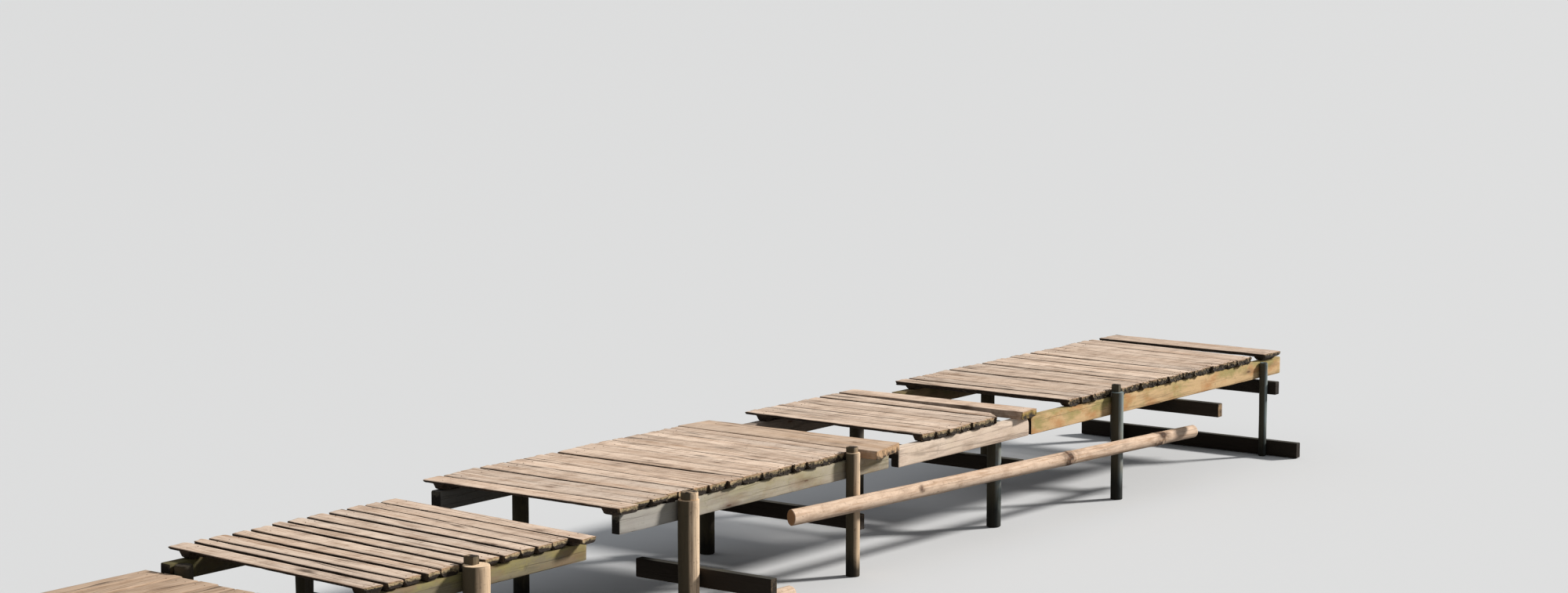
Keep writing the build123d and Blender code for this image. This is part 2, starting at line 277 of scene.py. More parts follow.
class Wood(Shade):
    """Wood in layers: each method lays one kind of growth, wear or painted shade over the colour so far."""

    def __init__(self, name, light, shade, knot, streak):
        super().__init__(name)
        self.light, self.shade, self.knot = light, shade, knot
        self.colour = shade
        self.grain = self.vector("grain")
        self.place = self.node("TexCoord").outputs["Object"]
        self.fibres = self.noise(self.grain, FIBRE_SCALE, 4.0, 0.6)
        self.streaks = self.noise(self.grain, streak, 4.0, 0.6)
        self.spots = self.noise(self.place, 17.0, 4.0, 0.65)
        self.skin = self.noise(self.grain, (16, 45, 45), 4.0, 0.7)
        self.torn = self.noise(self.place, 30.0, 5.0, 0.72)
        self.low, self.edge, self.end = self.value("low"), self.value("edge"), self.value("end")

    def lay(self, share, colour, blend="MIX"):
        self.colour = self.mix(share, self.colour, colour, blend)

    def along_streaks(self, value, share):
        """A value that wavers with the streaks of the grain."""
        return self.plus(value, self.times(self.math("SUBTRACT", self.streaks, 0.5), share))

    def lay_grain(self, silver, silver_share, tones):
        """Fibres and streaks, silvered patches, and the lightness and warmth of each plank or timber."""
        blend = self.plus(self.times(self.fibres, 0.58), self.times(self.streaks, 0.42))
        self.lay(self.span(blend, 0.36, 0.51), self.light)
        broad = self.noise(self.grain, (0.5, 3.2, 3.2), 3.0, 0.55)
        self.lay(self.times(self.span(broad, 0.5, 0.66), silver_share), silver)
        tone = self.value("tone")
        self.lay(1.0, self.grey(self.span(tone, 0.0, 1.0, *tones)), "MULTIPLY")
        warmth = self.math("FRACT", self.times(tone, 7.31))
        self.lay(self.times(warmth, 0.22), self.shade)

    def lay_stain(self, stain, share, scale, upper_film):
        """Broad patches, thicker near the top of a timber where upper_film is set."""
        film = self.noise(self.mapped(self.place, (1, 2.2, 2.2)), scale, 5.0, 0.68)
        if upper_film:
            film = self.plus(film, self.span(self.low, 0.2, 0.8, 0.12, -0.1))
        self.lay(self.times(self.span(film, 0.47, 0.66), share), stain)

    def lay_second_stain(self, stain, share, scale, stretch):
        """Smaller patches; a stretch under 1 draws them out along the jetty."""
        film = self.noise(self.place, (scale * stretch, scale, scale), 4.0, 0.62)
        self.lay(self.times(self.span(film, 0.5, 0.64), share), stain)

    def lay_bleach(self, pale, start, stop):
        """A pale shore end that fades out between two places along the jetty."""
        along = self.plus(self.node("SeparateXYZ", {0: self.place}).outputs[0], self.times(self.streaks, 0.5))
        self.lay(self.span(along, start, stop, 0.75, 0.0), pale)

    def lay_knots(self, cells, radius):
        """Knots with a dark heart and a faint halo."""
        sockets = {"Vector": self.mapped(self.grain, cells), "Scale": 1.0, "Randomness": 1.0}
        distance = self.node("TexVoronoi", sockets).outputs["Distance"]
        self.heart = self.span(distance, radius * 0.4, radius * 0.75, 0.9, 0.0)
        halo = self.span(distance, radius * 0.75, radius * 2.2, 0.4, 0.0)
        self.lay(self.math("MAXIMUM", self.heart, halo), self.knot)

    def lay_cracks(self, share):
        """Fine cracks that follow the grain in places, and dirty spots."""
        sway = self.times(self.noise(self.grain, (1.6, 9, 9), 2.0), 0.03)
        aside = self.node("CombineXYZ", {1: sway}).outputs[0]
        bent = self.node("VectorMath", {0: self.grain, 1: aside}, operation="ADD").outputs[0]
        sockets = {"Vector": self.mapped(bent, (0.6, 20, 20)), "Scale": 1.0}
        line = self.node("TexVoronoi", sockets, feature="DISTANCE_TO_EDGE").outputs["Distance"]
        gate = self.span(self.noise(self.grain, (0.9, 11, 11), 2.0), 0.5, 0.58)
        self.crack = self.times(self.span(line, 0.012, 0.055, share, 0.0), gate)
        self.lay(self.crack, scaled(self.knot, 0.3))
        self.lay(self.span(self.spots, 0.62, 0.74, 0.0, 0.55), scaled(self.shade, 0.7))

    def lay_speckle(self, share):
        """Small dark specks, thickest where the wood is spotted."""
        specks = self.noise(self.mapped(self.place, (1, 0.55, 1)), 62.0, 3.0, 0.7)
        thick = self.span(self.spots, 0.4, 0.6, 0.35, 1.0)
        self.lay(self.times(self.span(specks, 0.6, 0.68, 0.0, share), thick), self.knot)

    def lay_shaded_side(self, shaded_side):
        """Painted shade on the side that faces away from the key light."""
        shading = self.along_streaks(self.value("shaded_side"), 0.3)
        self.lay(self.span(shading, 0.51, 0.63, 0.0, 0.94), shaded_side)

    def lay_rim(self):
        """Dirt along the edges."""
        rim = self.times(self.math("POWER", self.edge, 2.0), self.span(self.spots, 0.35, 0.6, 0.45, 0.9))
        self.lay(rim, tuple(a * 0.3 + b * 0.7 for a, b in zip(self.shade, self.knot)))

    def lay_bark(self, bark):
        """Rough bark where a piece still has it."""
        rough_bark = self.mix(self.span(self.skin, 0.42, 0.7), bark, scaled(bark, 3.2))
        self.lay(self.times(self.value("bark"), self.span(self.skin, 0.24, 0.36)), rough_bark)

    def lay_ends(self, end, dirt_and_shade, shade_level, outline):
        """Ends with growth rings, rotten in places, darker toward the bottom as painted shade, mixed toward
        the streak colour at the top, dirty round the rim.
        """
        spread = self.node("SeparateXYZ", {0: self.grain})
        across = self.node("CombineXYZ", {1: spread.outputs[1], 2: spread.outputs[2]}).outputs[0]
        radius = self.node("VectorMath", {0: across}, operation="LENGTH").outputs["Value"]
        rings = self.math("SINE", self.times(self.plus(radius, self.times(self.spots, 0.006)), 1050.0))
        sawn = self.mix(self.span(rings, -1.0, 1.0, 0.0, 0.2), end, scaled(end, 0.5))
        # Painted shade: the rot share and the band below a set level both darken the ends toward the bottom.
        rot = self.plus(self.times(self.low, 0.34), self.times(self.value("rot"), 0.36))
        rotten = self.span(self.plus(self.torn, rot), 0.64, 0.88)
        painted_shade_below = self.span(self.plus(self.low, self.times(self.torn, 0.7)), shade_level, shade_level + 0.16)
        sawn = self.mix(self.math("MAXIMUM", rotten, painted_shade_below), sawn, dirt_and_shade)
        crown = self.plus(self.low, self.times(self.math("SUBTRACT", self.torn, 0.5), 0.9))
        sawn = self.mix(self.span(crown, 0.16, 0.34, 0.75, 0.0), sawn, self.shade)
        self.lay(self.end, sawn)
        if outline:
            self.lay(self.times(self.end, self.span(self.edge, 0.25, 0.65, 0.0, outline)), dirt_and_shade)

    def lay_cut(self):
        """Clean wood where a post head is cut back."""
        self.lay(self.value("cut"), scaled(self.light, 1.05))

    def lay_foot(self, foot, height):
        """The soaked band above the foot."""
        level = self.along_streaks(self.node("SeparateXYZ", {0: self.place}).outputs[2], 0.3)
        self.lay(self.span(level, height * 0.4, height, 0.92, 0.0), foot)

    def done(self):
        relief = self.plus(self.times(self.fibres, 0.4), self.times(self.crack, -1.2))
        relief = self.plus(relief, self.times(self.times(self.skin, self.value("bark")), 2.4))
        relief = self.plus(relief, self.times(self.times(self.torn, self.end), 1.6))
        relief = self.plus(relief, self.times(self.heart, 0.35))
        gloss = self.span(self.fibres, 0.3, 0.7, WOOD_ROUGHNESS - 0.08, WOOD_ROUGHNESS + 0.08)
        return self.finish(self.colour, gloss, relief, WOOD_RELIEF)


def wood_material(name, light, shade, silver, knot, end, dirt_and_shade, bark, silver_share=0.3, streak=(0.8, 12, 12),
                  knot_cells=(2.1, 8.5, 8.5), knot_radius=0.12, crack_share=0.75, stain=None, stain_share=0.5,
                  stain_scale=4.0, upper_film=False, second_stain=None, second_share=0.5, film_stretch=1.0,
                  bleach=None, speckle=0.0, shaded_side=None, shade_level=1.3, outline=0.0, foot=None, foot_height=0.0,
                  tones=(0.84, 1.07)):
    """Weathered wood: grain, silvering, stains, knots, cracks, bark, sawn or rotten ends, and painted shade
    low on the ends and on the side away from the key light.
    """
    wood = Wood(name, light, shade, knot, streak)
    wood.lay_grain(silver, silver_share, tones)
    if stain is not None:
        wood.lay_stain(stain, stain_share, stain_scale, upper_film)
    if second_stain is not None:
        wood.lay_second_stain(second_stain, second_share, stain_scale * 2.3, film_stretch)
    if bleach is not None:
        wood.lay_bleach(*bleach)
    wood.lay_knots(knot_cells, knot_radius)
    wood.lay_cracks(crack_share)
    if speckle:
        wood.lay_speckle(speckle)
    if shaded_side is not None:
        wood.lay_shaded_side(shaded_side)
    wood.lay_rim()
    wood.lay_bark(bark)
    wood.lay_ends(end, dirt_and_shade, shade_level, outline)
    wood.lay_cut()
    if foot is not None:
        wood.lay_foot(foot, foot_height)
    return wood.done()


def flake_material(name, dark, pale):
    """Bark flakes: dark, with paler torn faces."""
    s = Shade(name)
    place = s.node("TexCoord").outputs["Object"]
    patches = s.noise(place, 55.0, 3.0, 0.6)
    fine = s.noise(place, 240.0, 3.0, 0.6)
    colour = s.mix(s.span(patches, 0.44, 0.60), dark, pale)
    colour = s.mix(s.span(fine, 0.4, 0.7, 0.0, 0.5), colour, scaled(dark, 0.5))
    return s.finish(colour, 0.92, fine, 0.002)


def rust_material(name, rust):
    """Rusted nail heads."""
    s = Shade(name)
    place = s.node("TexCoord").outputs["Object"]
    pits = s.noise(place, 420.0, 4.0, 0.65)
    colour = s.mix(s.span(pits, 0.4, 0.65), scaled(rust, 0.45), rust)
    return s.finish(colour, s.span(pits, 0.3, 0.7, 0.55, 0.85), pits, 0.0006)


# Shapes

ATTRIBUTES = ("tone", "end", "edge", "bark", "rot", "low", "shaded_side", "cut")
CAP_RINGS = (0.86, 0.6, 0.3)
CAP_DIP = 0.55
SMOOTH_ANGLE = 38


def wander(a, b, c, seed):
    """Smooth noise from -1 to 1."""
    return noise.noise(Vector((a + seed * 3.17, b - seed * 1.73, c + seed * 0.91)))


class Skin:
    """Collects lofted sections into one mesh, with the values that the wood materials read."""

    def __init__(self):
        self.points = []
        self.faces = []
        self.grain = []
        self.values = {key: [] for key in ATTRIBUTES}

    def add_point(self, point, grain, values):
        self.points.append(point)
        self.grain.append(grain)
        for key in ATTRIBUTES:
            self.values[key].append(values.get(key, 0.0))
        return len(self.points) - 1

    def add_loft(self, loops, rough, seed):
        """Closed shape from loops of (point, grain, values), with rough ends."""
        rows = [[self.add_point(*entry) for entry in loop] for loop in loops]
        count = len(rows[0])
        for first, second in zip(rows, rows[1:]):
            for k in range(count):
                n = (k + 1) % count
                self.faces.append((first[k], first[n], second[n], second[k]))
        for row, loop, inner in ((rows[0], loops[0], loops[1]), (rows[-1], loops[-1], loops[-2])):
            middle = sum((entry[0] for entry in loop), Vector()) / count
            inner_middle = sum((entry[0] for entry in inner), Vector()) / count
            axis = (middle - inner_middle).normalized()
            heart = sum((Vector(entry[1]) for entry in loop), Vector()) / count
            previous = row
            for ring in CAP_RINGS:
                made = []
                for point, grain, values in loop:
                    spot = middle + (point - middle) * ring
                    dip = CAP_DIP + 0.45 * wander(spot.x * 45, spot.y * 45, spot.z * 45, seed)
                    spot -= axis * rough * dip * min(1.0, (1 - ring) * 3)
                    low = 0.5 + (values["low"] - 0.5) * ring
                    values = dict(values, end=1.0, edge=0.0, bark=0.0, low=low)
                    made.append(self.add_point(spot, heart + (Vector(grain) - heart) * ring, values))
                for k in range(count):
                    n = (k + 1) % count
                    self.faces.append((previous[k], previous[n], made[n], made[k]))
                previous = made
            values = dict(loop[0][2], end=1.0, edge=0.0, bark=0.0, low=0.5)
            tip = self.add_point(middle - axis * rough * CAP_DIP, heart, values)
            for k in range(count):
                self.faces.append((previous[k], previous[(k + 1) % count], tip))

    def piece(self, name, material, nodes):
        """Makes the object, puts it on the frame and lets it stand for its CAD nodes."""
        mesh = bpy.data.meshes.new(name)
        mesh.from_pydata([tuple(p) for p in self.points], [], self.faces)
        grain = mesh.attributes.new("grain", "FLOAT_VECTOR", "POINT")
        grain.data.foreach_set("vector", [v for g in self.grain for v in g])
        for key, values in self.values.items():
            mesh.attributes.new(key, "FLOAT", "POINT").data.foreach_set("value", values)
        rebuilt = bmesh.new()
        rebuilt.from_mesh(mesh)
        bmesh.ops.recalc_face_normals(rebuilt, faces=rebuilt.faces)
        rebuilt.to_mesh(mesh)
        rebuilt.free()
        mesh.polygons.foreach_set("use_smooth", [True] * len(mesh.polygons))
        mesh.set_sharp_from_angle(angle=math.radians(SMOOTH_ANGLE))
        mesh.materials.append(material)
        made = bpy.data.objects.new(name, mesh)
        bpy.context.scene.collection.objects.link(made)
        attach(made, "root")
        if nodes:
            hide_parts(*nodes)


def islands(node):
    """Corner points of each separate solid of a CAD node."""
    source = bmesh.new()
    source.from_mesh(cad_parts[node].data)
    bmesh.ops.remove_doubles(source, verts=source.verts, dist=0.00001)
    groups, seen = [], set()
    for start in source.verts:
        if start.index in seen:
            continue
        seen.add(start.index)
        pile, group = [start], []
        while pile:
            vert = pile.pop()
            group.append(vert.co.copy())
            for edge in vert.link_edges:
                other = edge.other_vert(vert)
                if other.index not in seen:
                    seen.add(other.index)
                    pile.append(other)
        groups.append(group)
    source.free()
    return groups


def extreme(points, signs):
    """The corner of a boxy solid that lies furthest in the given direction."""
    spans = [max(max(p[k] for p in points) - min(p[k] for p in points), 1e-6) for k in range(3)]
    return max(points, key=lambda p: sum(signs[k] * p[k] / spans[k] for k in range(3)))


def box_corners(points):
    """Eight corners of a boxy solid, by (x, y, z) end."""
    return {(i, j, k): extreme(points, (2 * i - 1, 2 * j - 1, 2 * k - 1))
            for i in (0, 1) for j in (0, 1) for k in (0, 1)}


def deck_corners(points):
    """Top corners of a slab across the jetty, near then far and shore then outer, and its thickness."""
    middle = (min(p.y for p in points) + max(p.y for p in points)) / 2
    found = []
    for half in ([p for p in points if p.y < middle], [p for p in points if p.y >= middle]):
        level = max(p.z for p in half)
        tops = [p for p in half if p.z > level - 0.0015]
        found += [min(tops, key=lambda p: p.x), max(tops, key=lambda p: p.x)]
    near = [p for p in points if p.y < middle]
    return found, max(p.z for p in near) - min(p.z for p in near)


def stations(run, step, close=(0.0, 0.006, 0.018, 0.04)):
    """Places from 0 to 1 along a piece, closer together near both ends."""
    ends = [c / run for c in close]
    count = max(int(run / step), 4)
    inner = [ends[-1] + (1 - 2 * ends[-1]) * k / count for k in range(1, count)]
    return ends + inner + [1 - e for e in reversed(ends)]


# A plank's section: its face in shares of the half width, and its sides in shares of half width and depth.
SLAB_TOP = (-0.985, -0.93, -0.75, -0.5, -0.25, 0.0, 0.25, 0.5, 0.75, 0.93, 0.985)
SLAB_SIDE = ((1.0, 0.08), (1.0, 0.30), (0.965, 0.54), (0.87, 0.78), (0.72, 0.94), (0.50, 1.0))
FLAT_SIDE = ((1.0, 0.08), (1.0, 0.35), (1.0, 0.65), (1.0, 0.92), (0.985, 0.99), (0.6, 1.0))

# Distance between a plank's sections, and the length of its ends that chips and rot reach.
SLAB_STEP, CHIPPED_LENGTH = 0.05, 0.02

# How far in or out a plank's edge can stand, in half edge wanders, and the furthest that it stands out.
EDGE_STANDS, EDGE_REACH = (-0.9, -0.4, 0.3, 0.9, 1.7), 0.0026

# How far the arris of an open edge and of a close one is worn down.
OPEN_ARRIS, CLOSE_ARRIS = 0.0028, 0.0012

# Lengths either side of a stringer's middle line: a plank keeps its full thickness over the first and then
# thins over the second. Past STEPPED_THIN those steps have sections of their own, but not within END_SHARE of
# the plank's ends, and other sections keep STEP_CLEARANCE away from them, in shares of the run.
SEAT_HALF, SEAT_RAMP = 0.031, 0.015
STEPPED_THIN, END_SHARE, STEP_CLEARANCE = 0.3, 0.03, 0.006

# Where along its run a wide seam begins to open, how fast it opens, and how far its edge drops, as a share of
# the opening.
GAP_START, GAP_SLOPE, GAP_DROP = 0.12, 2.2, 0.45


class Plank:
    """One plank across the jetty: wandering edges, dips in the face, a rounded bark side and chipped ends.

    Its corners are near then far, shore edge then outer edge, and hand 0 is the shore edge. Off its seats on
    the stringers it is thinner by the share thin, times near_thin in front of the near one. Its outer edge
    opens toward the far side by wide_gap, and lies lower by edge_drop. Edges that are worn stand further in,
    and an edge with a value in closed runs straight, that far past its corners, or short of them if negative.
    """

    def __init__(self, corners, thickness, tone, rot, seed, deck, flat=False, ragged=1.0, wide_gap=0.0,
                 worn=0.0, thin=0.0, near_thin=1.0, seats=(), edge_drop=0.0, closed=(0.0, 0.0)):
        self.corners, self.thickness, self.tone, self.rot = corners, thickness, tone, rot
        self.seed, self.deck, self.flat, self.ragged = seed, deck, flat, ragged
        self.wide_gap, self.edge_drop, self.closed = wide_gap, edge_drop, closed
        self.thin, self.near_thin, self.seats = thin, near_thin, seats
        near_a, near_b, far_a, far_b = corners
        self.run = ((far_a + far_b) / 2 - (near_a + near_b) / 2).length
        self.up = (near_b - near_a).cross(far_a - near_a).normalized()
        self.along = (far_a.lerp(far_b, 0.5) - near_a.lerp(near_b, 0.5)).normalized()
        side = FLAT_SIDE if flat else SLAB_SIDE
        self.profile = [(a, 0.0) for a in SLAB_TOP] + list(side) + [(0.0, 1.0)]
        self.profile += [(-a, d) for a, d in reversed(side)]
        pick = random.Random(seed)
        self.stands = [pick.choice(EDGE_STANDS) + worn for _ in range(2)]
        self.start = pick.uniform(0, 40)
        self.pith = Vector((0, pick.uniform(-0.02, 0.02), -thickness - pick.uniform(0.0, 0.05)))
        self.cup = pick.uniform(-0.0006, 0.0018)
        self.lift = pick.uniform(-0.0012, 0.0008)

    def waver(self, a, b, c):
        return wander(a, b, c, self.seed)

    def places(self):
        """Places from 0 to 1 along the plank, with the steps beside its seats."""
        places = stations(self.run, SLAB_STEP)
        if self.thin <= STEPPED_THIN:
            return places
        near_a, near_b, far_a, far_b = self.corners
        near_y, far_y = (near_a.y + near_b.y) / 2, (far_a.y + far_b.y) / 2
        steps = [(seat + way * (SEAT_HALF + ramp) - near_y) / (far_y - near_y)
                 for seat in self.seats for way in (-1, 1) for ramp in (0.0, SEAT_RAMP)]
        steps = [t for t in steps if END_SHARE < t < 1 - END_SHARE]
        kept = [t for t in places if not END_SHARE < t < 1 - END_SHARE
                or min(abs(t - step) for step in steps) > STEP_CLEARANCE]
        return sorted(steps + kept)

    def depth(self, y):
        """Thickness of the plank where its middle line is at y."""
        clear = min((abs(y - seat) for seat in self.seats), default=0.0)
        slim = self.thin * min(1.0, max(0.0, (clear - SEAT_HALF) / SEAT_RAMP))
        if self.seats and y < min(self.seats):
            slim *= self.near_thin
        return self.thickness * (1 - slim)

    def opening(self, t):
        """How far the seam at the outer edge has opened."""
        return self.wide_gap * min(1.0, max(0.0, (t - GAP_START) * GAP_SLOPE))

    def inset(self, hand, t):
        """How far an edge stands in from its corners."""
        if self.closed[hand]:
            return -self.closed[hand]
        metres = t * self.run
        drift = self.waver(metres * 3.1, hand * 7, 0) * 0.6 + self.waver(metres * 14, hand * 5, 3) * 0.4
        inset = self.deck.edge_wander * (self.stands[hand] * 0.5 + drift * 0.7) * (0.3 if self.flat else 1.0)
        return max(inset + hand * self.opening(t), -EDGE_REACH)

    def face(self, a, hand, metres):
        """Height of the walked face, with its worn arris."""
        share = abs(a)
        height = (self.lift - self.cup * (1 - share)
                  + self.deck.face_wander * self.waver(metres * 5, a * 2, 1))
        if share > 0.9:
            arris = CLOSE_ARRIS if self.flat or self.closed[hand] else OPEN_ARRIS
            height -= arris * (1.2 + self.waver(metres * 9, hand, 5)) * (1 if share > 0.95 else 0.35)
        return height

    def chip(self, a, d, t, near_end):
        """How far one point of an end is chipped back, and how far it sags."""
        end_side = 0.5 if t < 0.5 else 9.5
        chip = self.waver(a * 3.1, d * 2, end_side) + 0.7 * self.waver(a * 8, d * 5, end_side + 2)
        amount = self.deck.end_chipping * self.ragged * (0.3 + 0.7 * self.rot)
        sag = 0.0
        if d < 0.3:
            sag = 0.006 * self.rot * near_end ** 2 * max(0.0, 0.4 + self.waver(a * 5, 4, end_side))
        return amount * max(0.0, 0.5 + chip) * near_end, sag

    def section(self, t):
        """Points round the plank at t, each with its place in the grain and its values."""
        near_a, near_b, far_a, far_b = self.corners
        left, right = near_a.lerp(far_a, t), near_b.lerp(far_b, t)
        middle, half = (left + right) / 2, (right - left) / 2
        width, across = half.length, half.normalized()
        metres = t * self.run
        near_end = max(0.0, 1 - min(metres, self.run - metres) / CHIPPED_LENGTH)
        depth, insets = self.depth(middle.y), (self.inset(0, t), self.inset(1, t))
        outer_drop = 0.0 if self.closed[1] else self.edge_drop + GAP_DROP * self.opening(t)
        loop = []
        for a, d in self.profile:
            hand, share = (0 if a < 0 else 1), abs(a)
            x = a * (width - insets[hand] * share ** 2)
            z = self.face(a, hand, metres) if d == 0 else -d * depth
            z -= outer_drop * max(0.0, 2 * a - 1) * (1 - d)
            if 0 < d < 1:
                lump = self.waver(metres * 11, a * 3, d * 4)
                x -= math.copysign(0.0035 * (1 + lump), a) * (0.15 if self.flat else 0.8)
                z += 0.0022 * lump * (0.3 if self.flat else 1.0)
            inward = 0.0
            if near_end:
                inward, sag = self.chip(a, d, t, near_end)
                z -= sag
            point = middle + across * x + self.up * z + self.along * (inward if t < 0.5 else -inward)
            rim = max(0.0, (share - 0.88) / 0.12) * (0.3 if self.closed[hand] else 1.0)
            values = {
                "tone": self.tone,
                "end": near_end ** 2 * (0.25 + 0.35 * self.rot if d == 0 else 1.0),
                "edge": rim if d == 0 else 0.8,
                "bark": 0.0 if self.flat or d == 0 else 1.0,
                "low": d,
                "rot": self.rot * 0.6,
            }
            loop.append((point, (metres + self.start, x + self.pith.y, z - self.pith.z), values))
        return loop

    def add_to(self, skin):
        skin.add_loft([self.section(t) for t in self.places()], 0.004 * (0.4 + self.rot), self.seed)


# A squared timber's face in shares of the half width, the distance between its sections, the hollow of its
# faces, the least wear of an arris, and how far and over what length its ends are rounded.
TIMBER_FACE, TIMBER_STEP = (-0.88, -0.45, 0.0, 0.45, 0.88), 0.09
FACE_HOLLOW, LEAST_ARRIS = 0.0011, 0.0008
END_ROUND, END_ROUND_LENGTH = 0.0018, 0.004
WORN_END, WORN_END_LENGTH = 0.034, 0.06


def add_timber(skin, corners, axis, arris, tone, seed, rots=(0.3, 0.3), worn_end=False, shading=0.0):
    """Squared timber between eight corners, with worn arrises and slightly hollow faces.

    Rots are for its first and its last end, and worn_end rounds the top of the last one. The shore side of a
    timber that doesn't run along the jetty gets painted shade, and its other sides a given share of it."""
    other = [k for k in range(3) if k != axis]

    def spot(t, v, w):
        total = Vector()
        for i, ti in ((0, 1 - t), (1, t)):
            for j, vj in ((0, (1 - v) / 2), (1, (1 + v) / 2)):
                for k, wk in ((0, (1 - w) / 2), (1, (1 + w) / 2)):
                    key = [0, 0, 0]
                    key[axis], key[other[0]], key[other[1]] = i, j, k
                    total += corners[tuple(key)] * (ti * vj * wk)
        return total

    run = (spot(1, 0, 0) - spot(0, 0, 0)).length
    half = ((spot(0, 1, 0) - spot(0, -1, 0)).length / 2, (spot(0, 0, 1) - spot(0, 0, -1)).length / 2)
    pick = random.Random(seed)
    start = pick.uniform(0, 40)
    pith = (pick.uniform(-0.03, 0.03), pick.uniform(-0.06, 0.06))
    back = TIMBER_FACE[::-1]
    profile = [(1.0, w) for w in TIMBER_FACE] + [(1.0, 1.0)] + [(v, 1.0) for v in back] + [(-1.0, 1.0)]
    profile += [(-1.0, w) for w in back] + [(-1.0, -1.0)] + [(v, -1.0) for v in TIMBER_FACE] + [(1.0, -1.0)]
    loops = []
    for t in stations(run, TIMBER_STEP, (0.0, 0.005, 0.02)):
        metres = t * run
        from_end = min(metres, run - metres)
        round_in = max(0.0, 1 - from_end / END_ROUND_LENGTH) * END_ROUND
        loop = []
        for v, w in profile:
            corner = abs(v) > 0.99 and abs(w) > 0.99
            dv, dw = v, w
            if corner:
                wear = 0.75 + 0.7 * wander(metres * 6, v, w, seed) + 0.5 * wander(metres * 23, v, w, seed)
                cut = max(arris * wear, LEAST_ARRIS)
                dv -= math.copysign(cut * 0.5 / half[0], v)
                dw -= math.copysign(cut * 0.5 / half[1], w)
            else:
                hollow = abs(FACE_HOLLOW * wander(metres * 4, v * 2, w * 2, seed))
                if abs(v) > 0.99:
                    dv -= math.copysign(hollow / half[0], v)
                if abs(w) > 0.99:
                    dw -= math.copysign(hollow / half[1], w)
            dv *= 1 - round_in / half[0]
            dw *= 1 - round_in / half[1]
            place = t
            if worn_end and t > 0.5:
                place -= WORN_END * max(0.0, w) ** 3 * max(0.0, 1 - from_end / WORN_END_LENGTH) / run
            values = {
                "tone": tone,
                "end": 1.0 if from_end < END_ROUND_LENGTH else 0.0,
                "edge": 0.9 if corner else 0.0,
                "low": 0.5 - 0.3 * w,
                # Painted shade on the shore side, which faces away from the key light.
                "shaded_side": 1.0 if axis and v < -0.9 else shading,
                "rot": rots[0] if t < 0.5 else rots[1],
            }
            grain = (metres + start, dv * half[0] + pith[0], dw * half[1] + pith[1])
            loop.append((spot(place, dv, dw), grain, values))
        loops.append(loop)
    skin.add_loft(loops, 0.0015, seed)


# The way that the painted shade on round posts faces, roughly away from the key light, and the length over
# which a slanted end straightens.
TO_SHADED_SIDE = Vector((-0.79, 0.61, 0.0))
SLANT_LENGTH = 0.15

# Least distance between a trunk's sections, and how far it may swell past its true radius.
LOG_SPACING, LOG_REACH = 0.0035, 0.003

# Sections across the rough patch of a cut branch, in shares of its radius.
STUB_SECTIONS = (-1.1, -0.8, -0.5, -0.2, 0.1, 0.4, 0.7, 1.0)


def log_places(run, step, chamfer, stubs):
    """Places from 0 to 1 along a trunk, closer together at its ends and over its cut branches."""
    used = stations(run, step, (0.0, chamfer, chamfer + 0.003, 0.02))
    for place, _, size, _ in stubs:
        used += [(place + size * k) / run for k in STUB_SECTIONS]
    places = []
    for t in sorted(used):
        if not places or (t - places[-1]) * run > LOG_SPACING or t == 1:
            places.append(t)
    return places


def add_log(skin, base, tip, base_radius, tip_radius, swell, tone, seed, sides=28, step=0.05, chamfer=0.004,
            stubs=(), cut_band=None, rot=0.3, slant=0.0):
    """Round trunk: uneven section, worn ends and rough patches round cut branches.

    Each stub is its distance from the base, its angle round the trunk, its radius and its height. The last
    cut_band of the trunk is freshly cut. A slant cuts the base askew: its near side stays, and its far side
    goes back by twice that share of the radius."""
    axis = (tip - base).normalized()
    run = (tip - base).length
    guide = Vector((0, 0, 1)) if abs(axis.z) < 0.9 else Vector((1, 0, 0))
    first = (guide - axis * axis.dot(guide)).normalized()
    second = axis.cross(first).normalized()
    start = random.Random(seed).uniform(0, 40)
    loops = []
    for t in log_places(run, step, chamfer, stubs):
        metres = t * run
        from_end = min(metres, run - metres)
        limit = base_radius + (tip_radius - base_radius) * t
        radius = limit - chamfer * max(0.0, 1 - from_end / chamfer)
        loop = []
        for k in range(sides):
            angle = math.tau * k / sides
            c, d = math.cos(angle), math.sin(angle)
            outward = first * c + second * d
            broad = wander(metres * 1.9, c * 1.2, d * 1.2, seed)
            fine = wander(metres * 9, c * 2.4, d * 2.4, seed)
            uneven = swell * (broad * 0.7 + fine * 0.4 - 0.45)
            mark = 0.0
            for place, turn, size, height in stubs:
                aside = math.remainder(angle - turn, math.tau) * limit
                reach = math.hypot((metres - place) * 0.75, aside) / size
                if reach < 1.6:
                    blur = 0.9 * wander(metres * 34, c * limit * 34, d * limit * 34, seed + 9)
                    mark = max(mark, min(1.0, max(0.0, 1.3 - reach * 1.2 + blur)))
                    uneven += height * max(0.0, 1 - reach + 0.4 * blur) ** 0.8 if reach < 1.1 else 0.0
            radial = min(radius + uneven, limit + LOG_REACH)
            values = {
                "tone": tone,
                "end": 1.0 if from_end < chamfer * 0.9 else 0.0,
                "bark": mark,
                "low": 0.4,
                # How far the point faces away from the key light, for the painted shade on that side.
                "shaded_side": 0.5 + 0.5 * outward.dot(TO_SHADED_SIDE),
                "rot": rot,
                "cut": 1.0 if cut_band is not None and metres > run - cut_band else 0.0,
            }
            spot = metres + slant * max(0.0, 1 - metres / SLANT_LENGTH) * (outward.y + 1) * radial
            grain = (spot + start, c * radial, d * radial)
            loop.append((base + axis * spot + outward * radial, grain, values))
        loops.append(loop)
    skin.add_loft(loops, 0.0012, seed)


# Pieces

